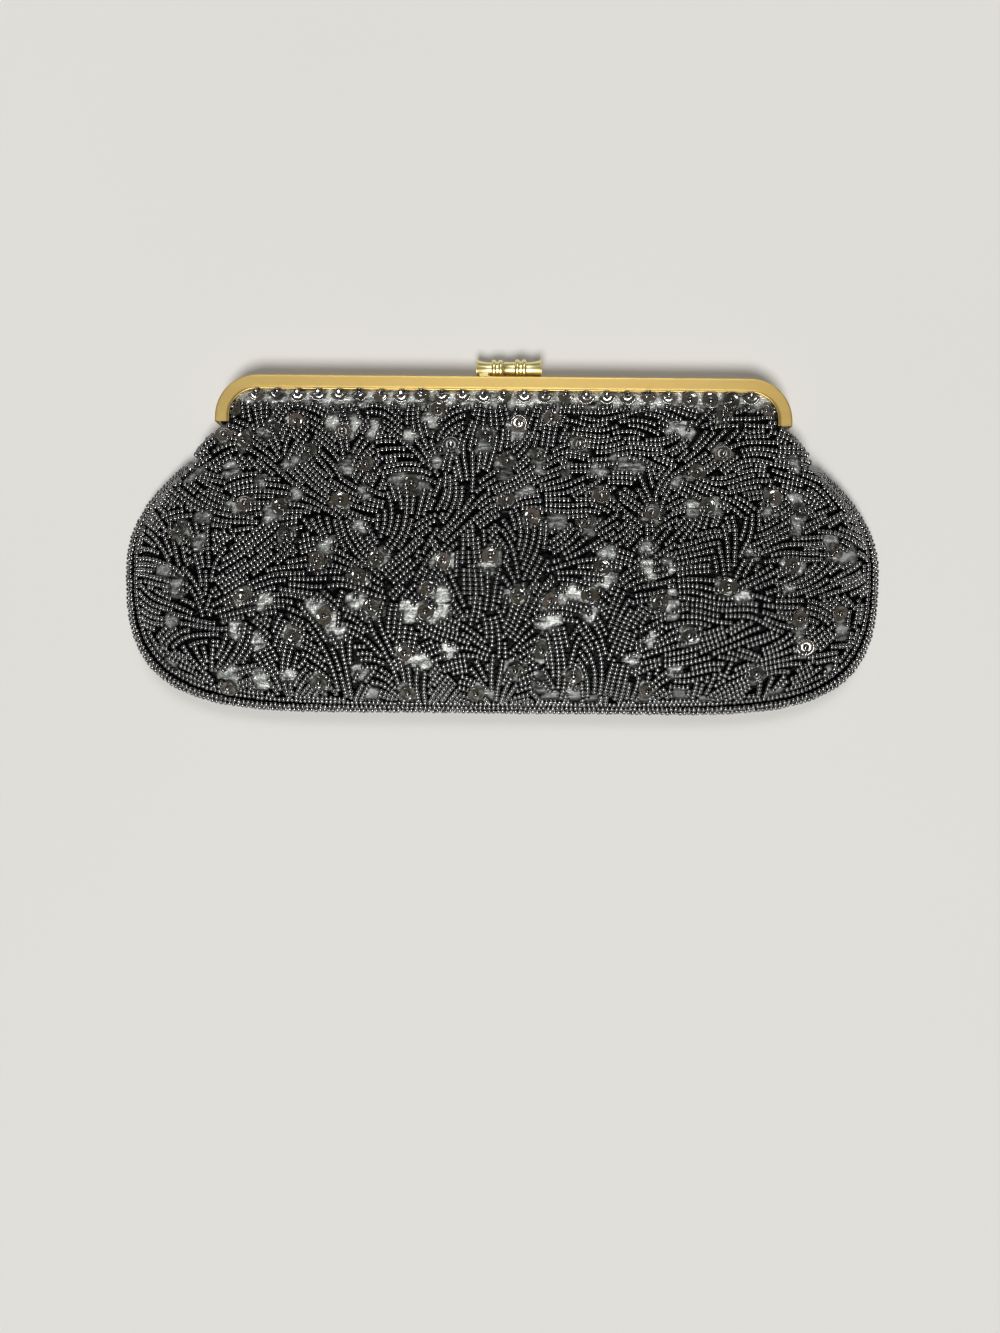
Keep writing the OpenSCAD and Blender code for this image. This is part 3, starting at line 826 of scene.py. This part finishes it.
def beadSeats(beads, front, depth, seed):
    rnd = np.random.default_rng(seed)
    x, place, angle = np.array(beads).T
    step = 0.5
    steep = beadwork["steepest"]
    gx = heightAt(x + step, place, depth, front) - heightAt(x - step, place, depth, front)
    gy = heightAt(x, place + step, depth, front) - heightAt(x, place - step, depth, front)
    gx, gy = np.clip(gx, -steep, steep), np.clip(gy, -steep, steep)
    along = np.stack([np.cos(angle), np.sin(angle), gx * np.cos(angle) + gy * np.sin(angle)], -1)
    normal = np.stack([-gx, -gy, np.ones_like(gx)], -1)
    if not front:
        along[:, 2] *= -1
        normal[:, 2] *= -1
    seats = toRow(x, place, heightAt(x, place, depth, front), front)
    normal = unit(normal)
    most = beadwork["liftMost"]
    lift = np.clip(rnd.normal(0, beadwork["lift"], len(x)), -most, most if front else 0.0)
    seats += normal * lift[:, None] * mm
    return seats, unit(along), normal, rnd.random(len(x))


# Parts that are sewn on, turned from a profile of radius and height, 1 across
def turnedPart(ring, sides, hub=None):
    points = [(0.5 * r * math.cos(a), 0.5 * r * math.sin(a), z) for r, z in ring for a in turns(sides)]
    faces = tubeFaces(len(ring), sides)
    for end, rise in enumerate(hub or ()):
        first = 0 if end == 0 else (len(ring) - 1) * sides
        points.append((0.0, 0.0, rise))
        for k in range(sides):
            pair = (first + (k + 1) % sides, first + k) if end == 0 else (first + k, first + (k + 1) % sides)
            faces.append((len(points) - 1, *pair))
    return points, faces


def seedBead():
    ring = [(0.36, -0.5), (0.88, -0.4), (1.0, -0.13), (1.0, 0.13), (0.88, 0.4), (0.36, 0.5)]
    return turnedPart(ring, 8, (-0.42, 0.42))


def cupSequin():
    shape = [
        (0.14, 0.1), (0.3, 0.03), (0.62, 0.03), (0.84, 0.1), (1.0, 0.2),
        (0.99, 0.24), (0.82, 0.14), (0.62, 0.07), (0.3, 0.07), (0.15, 0.14),
    ]
    return turnedPart([(r, 0.5 * z) for r, z in shape], 20)


# A sequin of the row under the lip: its upper half stands up against the frame
def bentSequin():
    points, faces = cupSequin()
    bend = math.radians(72)
    turned = []
    for x, y, z in points:
        if y > 0:
            y, z = y * math.cos(bend) - z * math.sin(bend), y * math.sin(bend) * 0.72 + z * math.cos(bend)
        turned.append((x, y, z))
    return turned, faces


# Sews a part onto each point of a mesh: Z along the thread, X away from the cloth
def sewingTree(name, part, material):
    tree = bpy.data.node_groups.new(name, "GeometryNodeTree")
    face = tree.interface
    face.new_socket("Geometry", in_out="INPUT", socket_type="NodeSocketGeometry")
    sizes = {}
    for label, value in (("Width", 1.86 * mm), ("Length", 1.22 * mm), ("Size Spread", 0.05), ("Tilt", 0.1)):
        socket = face.new_socket(label, in_out="INPUT", socket_type="NodeSocketFloat")
        socket.default_value = value
        sizes[label] = socket.identifier
    seed = face.new_socket("Seed", in_out="INPUT", socket_type="NodeSocketInt")
    seed.default_value = 3
    sizes["Seed"] = seed.identifier
    face.new_socket("Geometry", in_out="OUTPUT", socket_type="NodeSocketGeometry")
    board = Board(tree)
    entry = tree.nodes.new("NodeGroupInput")

    def given(label):
        return Wire(tree, entry.outputs[label])

    shape = board.add("GeometryNodeObjectInfo", {"transform_space": "ORIGINAL"}, {"Object": part}, out=4)
    along, normal = [
        board.add("GeometryNodeInputNamedAttribute", {"data_type": "FLOAT_VECTOR"}, {"Name": label})
        for label in ("along", "rise")
    ]
    turn = board.add("FunctionNodeAxesToRotation", {"primary_axis": "Z", "secondary_axis": "X"}, {
        "Primary Axis": along, "Secondary Axis": normal})
    wobble = board.add("FunctionNodeRandomValue", {"data_type": "FLOAT_VECTOR"}, {
        "Min": (-1.0, -1.0, -1.0), "Max": (1.0, 1.0, 1.0), "Seed": given("Seed")})
    tilt = board.add("ShaderNodeVectorMath", {"operation": "SCALE"}, {0: wobble, "Scale": given("Tilt")})
    turned = board.add("FunctionNodeRotateRotation", {"rotation_space": "LOCAL"}, {
        "Rotation": turn, "Rotate By": tilt})
    size = board.add("FunctionNodeRandomValue", {"data_type": "FLOAT"}, {
        2: 1.0 - given("Size Spread"), 3: 1.0 + given("Size Spread"), "Seed": given("Seed") + 5}, out=1)
    scale = board.add("ShaderNodeCombineXYZ", values={
        "X": given("Width") * size, "Y": given("Width") * size, "Z": given("Length") * size})
    points = board.add("GeometryNodeMeshToPoints", values={"Mesh": given("Geometry")})
    parts = board.add("GeometryNodeInstanceOnPoints", values={
        "Points": points, "Instance": shape, "Rotation": turned, "Scale": scale})
    real = board.add("GeometryNodeRealizeInstances", values={"Geometry": parts})
    coated = board.add("GeometryNodeSetMaterial", values={"Geometry": real, "Material": material})
    board.add("NodeGroupOutput", values={"Geometry": coated})
    return tree, sizes


def writeOn(mesh, label, data):
    kind, field = ("FLOAT", "value") if data.ndim == 1 else ("FLOAT_VECTOR", "vector")
    layer = mesh.attributes.new(label, kind, "POINT")
    layer.data.foreach_set(field, data.astype(np.float32).ravel())


def sewOn(name, seats, tree, sizes, values):
    points, along, rise, shade = seats
    mesh = bpy.data.meshes.new(name + "Seats")
    mesh.from_pydata([tuple(p) for p in points], [], [])
    for label, data in (("along", along), ("rise", rise), ("shade", shade)):
        writeOn(mesh, label, data)
    carrier = placed(name + "Seats", mesh)
    modifier = carrier.modifiers.new("sewing", "NODES")
    modifier.node_group = tree
    for label, value in values.items():
        modifier[sizes[label]] = value
    graph = bpy.context.evaluated_depsgraph_get()
    graph.update()
    sewn = bpy.data.meshes.new_from_object(carrier.evaluated_get(graph))
    sewn.name = name
    bpy.data.objects.remove(carrier)
    for label in ("along", "rise"):
        if label in sewn.attributes:
            sewn.attributes.remove(sewn.attributes[label])
    sewn.shade_smooth()
    return placed(name, sewn)


beadPart = newPiece("beadPart", *seedBead(), paints["beads"])
sequinPart = newPiece("sequinPart", *cupSequin(), paints["sequins"])
bentPart = newPiece("bentPart", *bentSequin(), paints["sequins"])
beadTree, beadSizes = sewingTree("sewSeedBeads", beadPart, paints["beads"])
sequinTree, sequinSizes = sewingTree("sewSequins", sequinPart, paints["sequins"])
bentTree, bentSizes = sewingTree("sewBentSequins", bentPart, paints["sequins"])


# Painted light on the satin: a painted highlight in a strip under the frame and in spots where no beads cover
# it, painted shade elsewhere
gapAndSheenForm = {
    # strip and spot: reach of the painted highlight. underSequin, backShift and backReach: gaps in the
    # beadwork that also get it. margin: only widens the gaps
    "strip": 9.9,
    "stripFade": 1.0,
    "spot": 1.35,
    "spotFade": 0.6,
    "underSequin": 2.2,
    "margin": 0.45,
    "backShift": 7,
    "backReach": 1.4,
}


def markPaintedSheen(piece, spots):
    points = np.empty(len(piece.data.vertices) * 3)
    piece.data.vertices.foreach_get("co", points)
    x, place = points[0::3] / mm, points[1::3] / mm + purse["overall"] / 2
    # the sheen mask: 1 in the strip under the frame and at the spots, for the painted highlight
    bare = smooth((place - purse["length"] + gapAndSheenForm["strip"]) / gapAndSheenForm["stripFade"])
    for spotX, spotPlace, reach in spots:
        gap = np.hypot(x - spotX, place - spotPlace)
        bare = np.maximum(bare, 1 - smooth((gap - gapAndSheenForm["spot"] * reach) / gapAndSheenForm["spotFade"]))
    writeOn(piece.data, "bare", bare)


sequinHoles = [(x, place, gapAndSheenForm["underSequin"]) for x, place in lowerSpots + upperSpots]
backPatches = [(-x + gapAndSheenForm["backShift"], place, gapAndSheenForm["backReach"]) for x, place, _ in patches[::2]]
# painted highlight and painted shade on the front and back satin
markPaintedSheen(bpy.data.objects["frontSatin"], sequinHoles + patches)
markPaintedSheen(bpy.data.objects["backSatin"], backPatches)
widePatches = [(x, place, reach + gapAndSheenForm["margin"]) for x, place, reach in patches]
frontBeads = sewBeads(beadwork, sprays, sequinHoles + widePatches, True)
print("front beads:", len(frontBeads))
backSprays = [(-x, place, 180 - aim, span, reach) for x, place, aim, span, reach in sprays]
backPlan = dict(beadwork, seed=19, apart=1.74, near=1.46)
backBeads = sewBeads(backPlan, backSprays, backPatches, False)
print("back beads:", len(backBeads))

beadValues = {
    "Width": beadwork["width"] * mm, "Length": beadwork["length"] * mm,
    "Size Spread": 0.05, "Tilt": 0.12, "Seed": 3,
}
for side, beads in (("front", frontBeads), ("back", backBeads)):
    beads.sort()
    share = len(beads) // 4 + 1
    for number in range(4):
        seats = beadSeats(beads[number * share:(number + 1) * share], side == "front", beadwork["depth"], 5)
        piece = sewOn(f"{side}Beads{number + 1}", seats, beadTree, beadSizes, beadValues)
        if side == "front":
            foldFront(piece, 1.0)
            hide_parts(*["front_beadwork_" + part for part in ("body", "fold", "flap")])
        else:
            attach(piece, "bag")
            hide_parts("back_beadwork")


# Beads along the seam, from one hinge round the bottom to the other, and the cloth edges under them.
# Each row has its depth, height and pitch.
seamForm = {
    "rows": ((-1.15, 0.0, 1.3), (-0.1, 0.95, 1.36), (-0.1, -0.95, 1.36)),
    "width": 1.86,
    "edges": (1.9, 0.9, -0.2, -1.2),
    "half": 0.1,
}


def seamSeats():
    rows = [evenly(rimPath(depth, hingeT - 1), pitch) for depth, _, pitch in seamForm["rows"]]
    points = np.concatenate([row for row, _ in rows])
    aim = np.concatenate([heading for _, heading in rows])
    rise = np.concatenate([
        np.full(len(row), height) for (row, _), (_, height, _) in zip(rows, seamForm["rows"])])
    shift = np.random.default_rng(9).uniform(-0.2, 0.05, len(points))
    turn = np.random.default_rng(10).normal(0, 0.4, len(points))
    seats = toRow(points[:, 0] - aim[:, 1] * shift, points[:, 1] + aim[:, 0] * shift, rise)
    along = np.stack([
        aim[:, 0] * np.cos(turn) - aim[:, 1] * np.sin(turn),
        aim[:, 0] * np.sin(turn) + aim[:, 1] * np.cos(turn),
        np.zeros(len(points)),
    ], 1)
    up = np.tile([0.0, 0.0, 1.0], (len(points), 1))
    return seats, along, up, np.random.default_rng(8).random(len(points))


seam = sewOn("seamBeads", seamSeats(), beadTree, beadSizes, dict(beadValues, Width=seamForm["width"] * mm))
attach(seam, "bag")
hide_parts("seam_beads")
tapeRows = np.stack([rimPath(depth, hingeT - 1.5) for depth in seamForm["edges"]], 1)
tapeSkins = [toRow(tapeRows[..., 0], tapeRows[..., 1], np.full(tapeRows.shape[:2], rise))
             for rise in (seamForm["half"], -seamForm["half"])]
tape = newPiece("seamEdge", *closedSkin(*tapeSkins), paints["satin"])
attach(tape, "bag")


# Sequins: a loose scatter on the front and a row under the frame's lip
sequins = {
    "width": 5.0,
    "pitch": 6.0,
    "inset": 6.3,
    "wobble": 0.26,
    "droop": 24,
    "flatDroop": 8,
    "outward": 0.6,
    "edgeRise": 5.75,
    "cornerTurn": 68,
    "flatFrom": 50,
    "flatTo": 71,
    "studWidth": 1.9,
    "studLength": 1.3,
}


def looseSeats(spots, wobble, seed):
    rnd = np.random.default_rng(seed)
    x, place = np.array(spots, float).T
    step = 1.5
    gx = (heightAt(x + step, place, 0.6, True) - heightAt(x - step, place, 0.6, True)) / (2 * step)
    gy = (heightAt(x, place + step, 0.6, True) - heightAt(x, place - step, 0.6, True)) / (2 * step)
    rise = np.stack([-gx, -gy, np.ones_like(gx)], -1)
    rise[:, :2] += rnd.normal(0, wobble, (len(x), 2))
    rise = unit(rise)
    seats = toRow(x, place, heightAt(x, place, 0.75, True))
    return seats, rise, np.cross([0.0, 1.0, 0.2], rise), rnd.random(len(x))


def edgeSeats(spots, droop, outward, seed):
    rnd = np.random.default_rng(seed)
    count = len(spots)
    x, place, side = np.array(spots, float).T
    away = np.stack([np.sin(np.radians(side)), np.cos(np.radians(side)), np.zeros(count)], -1)
    lean = np.radians(droop + rnd.normal(0, 6, count))[:, None]
    rise = -away * np.sin(lean) + np.array([0.0, 0.0, 1.0]) * np.cos(lean)
    rise[:, 0] += rnd.normal(0, 0.08, count)
    rise = unit(rise)
    seats = toRow(x, place, np.full(count, sequins["edgeRise"]))
    seats += away * (outward + rnd.uniform(-0.2, 0.2, count))[:, None] * mm
    return seats, rise, np.cross(away, rise), rnd.random(count)


# A cup and the bead that holds it, which sits a knot's length above the seat
def sewSequins(name, seats, tree, sizes, cad, knot, push=0.0):
    cups = sewOn(name, seats, tree, sizes, {
        "Width": sequins["width"] * mm, "Length": sequins["width"] * mm,
        "Size Spread": 0.03, "Tilt": 0.04, "Seed": 4})
    foldFront(cups, 0.5)
    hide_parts(cad)
    outward = np.cross(seats[1], seats[2])
    top = (seats[0] + (seats[1] * knot + outward * push) * mm, seats[1], seats[2], seats[3])
    studs = sewOn(name + "Beads", top, beadTree, beadSizes, dict(
        beadValues, Width=sequins["studWidth"] * mm, Length=sequins["studLength"] * mm))
    foldFront(studs, 0.5)


straight = frameHalf - purse["cornerRadius"]
cornerReach = purse["cornerRadius"] - sequins["inset"]
edgeCount = int(2 * straight // sequins["pitch"])
edgeRow = [
    (2 * straight * k / edgeCount - straight, purse["length"] - sequins["inset"], 0.0)
    for k in range(edgeCount + 1)
]
cornerTurn = math.radians(sequins["cornerTurn"])
for side in (-1, 1):
    edgeRow.append((
        side * (straight + cornerReach * math.sin(cornerTurn)),
        cornerT + cornerReach * math.cos(cornerTurn), side * float(sequins["cornerTurn"])))
isFlat = [sequins["flatFrom"] < x < sequins["flatTo"] for x, _, _ in edgeRow]
flatRow = [spot for spot, flat in zip(edgeRow, isFlat) if flat]
bentRow = [spot for spot, flat in zip(edgeRow, isFlat) if not flat]
sewSequins("looseSequins", looseSeats(lowerSpots + upperSpots, sequins["wobble"], 31),
           sequinTree, sequinSizes, "front_sequins", 0.9)
sewSequins("frameSequins", edgeSeats(bentRow, sequins["droop"], sequins["outward"], 32),
           bentTree, bentSizes, "frame_edge_sequins", 0.7, 0.6)
sewSequins("flatSequins", edgeSeats(flatRow, sequins["flatDroop"], -sequins["outward"], 33),
           sequinTree, sequinSizes, "frame_edge_sequins", 0.8)
print("sequins made")

for part in (beadPart, sequinPart, bentPart):
    bpy.data.objects.remove(part)


# Frame: a channel swept round the arch, with an arm and an eye at each end
frameForm = {
    "face": 4.7,
    "level": 0.1,  # from the middle plane between the halves
    "edge": 0.35,
    "innerEdge": 0.2,
    "armOut": frameHalf - purse["band"] - 3.1,
    "armThick": 1.0,
    "armDepth": 1.4,
    "armOverlap": 6,
    "footOut": frameHalf - 4.0,
    "footTop": 0.7,
    "eye": 1.6,
    "bore": 0.83,
}


# A line over the arch, from the lower right to the lower left, at an inset from its outer edge
def archPath(side, inset, cornerSteps, topSteps):
    radius = purse["cornerRadius"] - inset
    half = side + [
        (straight + radius * math.cos(a), cornerT + radius * math.sin(a))
        for a in np.linspace(0, math.pi / 2, cornerSteps)
    ]
    top = [(straight * (1 - 2 * k / topSteps), purse["length"] - inset) for k in range(1, topSteps)]
    return np.array(half + top + [(-x, y) for x, y in half[::-1]])


# Section of the channel, as insets from the arch and heights: back, side, face, lip and hollow
def channelProfile():
    band, high, low = purse["band"], frameForm["face"], frameForm["level"]
    e, f = frameForm["edge"], frameForm["innerEdge"]
    inner = [(f * (1 - math.cos(a)), 0.3 - f * math.sin(a)) for a in np.linspace(math.pi / 2, 0, 4)]
    outer = [(e * (1 - math.sin(a)), high - e * (1 - math.cos(a))) for a in np.linspace(math.pi / 2, 0, 6)]
    face = [(k, high) for k in (0.8, 1.6, 2.4, 3.2, 3.78)]
    lip = [(3.84, 4.74), (3.9, 4.86), (4.0, 4.93), (4.1, 4.94), (4.2, 4.9), (4.28, 4.8), (band, 4.65)]
    back = [(k, low) for k in (band, 4.25, 3.0, 1.5)]
    hollow = [(band, 4.15), (4.2, 4.1), (0.6, 4.1), (0.6, 0.7), (4.2, 0.7), (band, 0.65)]
    return back + inner + [(0.0, 1.5), (0.0, 3.0)] + outer + face + lip + hollow


def sweepChannel():
    path = archPath([(frameHalf, channelT + 1.5 * k / 2) for k in range(2)], 0, 25, 40)
    aim = unit(np.gradient(path, axis=0))
    inward = np.stack([-aim[:, 1], aim[:, 0]], 1)
    profile = channelProfile()
    points = []
    for p, n in zip(path, inward):
        for inset, rise in profile:
            points.append((p[0] + n[0] * inset, p[1] + n[1] * inset, rise))
    count = len(profile)
    faces = [
        (i * count + k, (i + 1) * count + k, (i + 1) * count + (k + 1) % count, i * count + (k + 1) % count)
        for i in range(len(path) - 1) for k in range(count)
    ]
    faces.append(tuple(range(count)))
    faces.append(tuple((len(path) - 1) * count + k for k in reversed(range(count))))
    return points, faces


def roundedBox(mesh, low, high, bevel):
    made = bmesh.ops.create_cube(mesh, size=1)["verts"]
    size = [h - l for l, h in zip(low, high)]
    for vert in made:
        vert.co = [l + (c + 0.5) * s for l, c, s in zip(low, vert.co, size)]
    edges = list(dict.fromkeys(e for v in made for e in v.link_edges))
    bmesh.ops.bevel(mesh, geom=edges, offset=bevel, segments=2, affect="EDGES", profile=0.5)


def eyeRing(mesh, x, thick):
    sides = 32
    bore, eye = frameForm["bore"], frameForm["eye"]
    profile = (
        (bore, 0.0), (eye - 0.1, 0.0), (eye, 0.1), (eye, thick - 0.1), (eye - 0.1, thick), (bore, thick))
    rings = []
    for r, at in profile:
        ring = [(x + at, hingeT + r * math.cos(a), r * math.sin(a)) for a in turns(sides)]
        rings.append([mesh.verts.new(point) for point in ring])
    for a, b in zip(rings, rings[1:] + rings[:1]):
        for k in range(sides):
            mesh.faces.new((a[k], b[k], b[(k + 1) % sides], a[(k + 1) % sides]))


def frameHalfPiece(name, front, armStart):
    mesh = bmesh.new()
    points, faces = sweepChannel()
    verts = [mesh.verts.new(p) for p in points]
    for face in faces:
        mesh.faces.new([verts[k] for k in face])
    thick, low, foot = frameForm["armThick"], frameForm["level"], frameForm["footOut"]
    top = channelT + frameForm["armOverlap"]
    for side in (1, -1):
        x = armStart if side > 0 else -armStart - thick
        near, far = (x, foot) if side > 0 else (-foot, x + thick)
        roundedBox(mesh, (near, channelT, low), (far, top, frameForm["footTop"]), 0.12)
        roundedBox(mesh, (x, hingeT + 1.1, low), (x + thick, top, low + frameForm["armDepth"]), 0.2)
        eyeRing(mesh, x, thick)
    for vert in mesh.verts:
        x, place, rise = vert.co
        vert.co = tuple(toRow(x, place, rise, front))
    bmesh.ops.recalc_face_normals(mesh, faces=mesh.faces)
    data = bpy.data.meshes.new(name)
    mesh.to_mesh(data)
    mesh.free()
    data.shade_smooth()
    data.materials.append(paints["band"])
    data.set_sharp_from_angle(angle=math.radians(35))
    return placed(name, data)


for name, front, start, body in (
    ("frontFrame", True, frameForm["armOut"] - 1.0, "front_half"),
    ("backFrame", False, frameForm["armOut"] - 2.1, "bag"),
):
    piece = frameHalfPiece(name, front, start)
    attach(piece, body)
    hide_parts("front_frame" if front else "back_frame")
print("frame made")


# Clasp knobs: turned along the frame's top, meeting tip to tip
knobForm = {
    "above": 0.2,
    "radius": 3.0,
    "barrel": 2.1,
    "ring": 2.9,
    "groove": 2.35,
    "flare": 3.6,
    "meetX": -0.3,
    "gap": 0.2,
    "lean": 0.3,
    "barrelLength": 3.5,
}
knobT = purse["length"] + knobForm["radius"] + knobForm["above"]


# Radii and distances from the tip: a barrel, two rings, a neck and a flared end
def knobProfile(barrel):
    core, ring, groove, wide = (knobForm[key] for key in ("barrel", "ring", "groove", "radius"))
    shape = [(0.0, 0.0)]
    if barrel:
        shape += [(core - 0.5, 0.0), (core - 0.15, 0.12), (core, 0.4), (core, barrel - 0.2)]
    start = barrel
    for k in range(2):
        for a in np.linspace(0.1, math.pi - 0.1, 9):
            shape.append((groove + (ring - groove) * math.sin(a) ** 0.6, start + 0.65 * (1 - math.cos(a))))
        start += 1.3
        if k == 0:
            shape += [(groove, start + 0.05), (groove, start + 0.65)]
            start += 0.7
    shape += [(core, start + 0.1), (core, start + 0.9)]
    start += 1.0
    for u in np.linspace(0.1, 0.86, 7):
        shape.append((core + (wide - 0.25 - core) * u ** 1.3, start + knobForm["flare"] * u))
    end = start + knobForm["flare"]
    for inset, back in ((0.12, 0.42), (0.0, 0.3), (0.0, 0.12), (0.1, 0.02), (0.3, 0.0), (0.9, 0.12)):
        shape.append((wide - inset, end - back))
    return shape + [(0.0, end - 0.15)]


def turnedKnob(name, front, barrel, facing):
    sides = 48
    profile = knobProfile(barrel)
    points = []
    lean = -knobForm["lean"]
    for r, at in profile:
        x = knobForm["meetX"] + facing * (knobForm["gap"] / 2 + at)
        for a in turns(sides):
            points.append(tuple(toRow(x, knobT + r * math.cos(a), lean + r * math.sin(a), front)))
    piece = newPiece(name, points, tubeFaces(len(profile), sides), paints["knob"])
    faceOutwards(piece, 1e-6)
    piece.data.set_sharp_from_angle(angle=math.radians(50))
    return piece


for name, front, barrel, facing, body, cad in (
    ("leftKnob", True, 0.0, -1, "front_half", "left_knob"),
    ("rightKnob", False, knobForm["barrelLength"], 1, "bag", "right_knob"),
):
    knob = turnedKnob(name, front, barrel, facing)
    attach(knob, body)
    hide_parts(cad)

for node, coat in (("left_hinge_pin", "pin"), ("right_hinge_pin", "pin"),
                   ("left_knob_post", "knob"), ("right_knob_post", "knob")):
    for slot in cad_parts[node].material_slots:
        slot.material = paints[coat]


# Twisted cord that wedges the cloth in each channel
cordForm = {"inset": 0.9 + 0.15 + 0.55, "rise": 1.3, "radius": 0.5, "strands": 3, "twist": 0.5, "sides": 12}


def twistedCord(name, front):
    inset = cordForm["inset"]
    side = [(straight + (purse["cornerRadius"] - inset), cornerT - 1 + 0.5 * k) for k in range(2)]
    points, aim = evenly(archPath(side, inset, 24, 100), 0.6)
    sides = cordForm["sides"]
    out = []
    for row, (p, v) in enumerate(zip(points, aim)):
        for a in turns(sides):
            swell = abs(math.cos(cordForm["strands"] / 2 * (a - cordForm["twist"] * row)))
            r = cordForm["radius"] * (0.84 + 0.16 * swell)
            across, up = r * math.cos(a), r * math.sin(a)
            out.append(tuple(toRow(p[0] + v[1] * across, p[1] - v[0] * across, cordForm["rise"] + up, front)))
    rows = len(points)
    faces = tubeFaces(rows, sides)
    faces += [tuple(reversed(range(sides))), tuple((rows - 1) * sides + k for k in range(sides))]
    piece = newPiece(name, out, faces, paints["cord"])
    faceOutwards(piece)
    return piece


for name, front, body, cad in (("frontCord", True, "front_half", "front_crimp_cord"),
                               ("backCord", False, "bag", "back_crimp_cord")):
    cord = twistedCord(name, front)
    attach(cord, body)
    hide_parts(cad)
print("clasp and cords made")


# Floor, light and camera
def floorPaint(board):
    cloud = noise(board, objectPlace(board), 3.0, 2.0)
    return {
        "Base Color": spread(board, cloud, (0.72, 0.715, 0.7), (0.76, 0.755, 0.74)),
        "Roughness": 0.8,
    }


floorReach = 3
floorCorners = [(x * floorReach, y * floorReach, 0) for x, y in ((-1, -1), (1, -1), (1, 1), (-1, 1))]
floorMesh = bpy.data.meshes.new("floor")
floorMesh.from_pydata(floorCorners, [], [(0, 1, 2, 3)])
floorMesh.materials.append(paint("paleFloor", floorPaint))
floor = placed("floor", floorMesh)

lights = {
    "window": {"place": (-0.05, -0.62, 1.02), "spread": 19, "strength": 2.75, "colour": (1.0, 0.985, 0.955)},
    "overhead": {"place": (0.03, 0.6, 0.95), "spread": 25, "strength": 0.7, "colour": (1.0, 0.99, 0.97)},
}
for name, lamp in lights.items():
    data = bpy.data.lights.new(name, "SUN")
    data.angle = math.radians(lamp["spread"])
    data.energy = lamp["strength"]
    data.color = lamp["colour"]
    light = placed(name, data)
    light.location = lamp["place"]
    aim = -light.location.normalized()
    light.rotation_euler = aim.to_track_quat("-Z", "Y").to_euler()

world = bpy.data.worlds.new("studio")
bpy.context.scene.world = world
world.use_nodes = True
skyBoard = Board(world.node_tree)
sky = skyBoard.add("ShaderNodeBackground", values={"Color": (1.0, 0.99, 0.97, 1), "Strength": 0.06})
backdrop = skyBoard.add("ShaderNodeBackground", values={"Color": (0.74, 0.735, 0.72, 1), "Strength": 1.0})


# The camera sees the whole pale backdrop, metal and glass its lower part
def raySeen(kind):
    return skyBoard.add("ShaderNodeLightPath", out=f"Is {kind} Ray")


heading = skyBoard.add("ShaderNodeTexCoord", out="Generated")
height = skyBoard.add("ShaderNodeSeparateXYZ", values={"Vector": heading}, out="Z")
low = skyBoard.add("ShaderNodeMapRange", values={
    "Value": height, "From Min": 0.02, "From Max": 0.28, "To Min": 1.0, "To Max": 0.0})
share = raySeen("Camera") + (raySeen("Glossy") + raySeen("Transmission")) * low
mixed = skyBoard.add("ShaderNodeMixShader", values={0: share, 1: sky, 2: backdrop})
skyBoard.add("ShaderNodeOutputWorld", values={"Surface": mixed})

cameraForm = {"lens": 26.0, "height": 0.331, "x": -0.00045, "y": -0.0388, "roll": 0.5}
cameraData = bpy.data.cameras.new("camera")
cameraData.sensor_fit = "HORIZONTAL"
cameraData.sensor_width = 24.0
cameraData.lens = cameraForm["lens"]
camera = placed("camera", cameraData)
camera.location = (cameraForm["x"], cameraForm["y"], cameraForm["height"])
camera.rotation_euler = (0, 0, math.radians(cameraForm["roll"]))
bpy.context.scene.camera = camera
bpy.context.scene.view_settings.view_transform = "Standard"

bpy.context.view_layer.update()
print("scene ready")
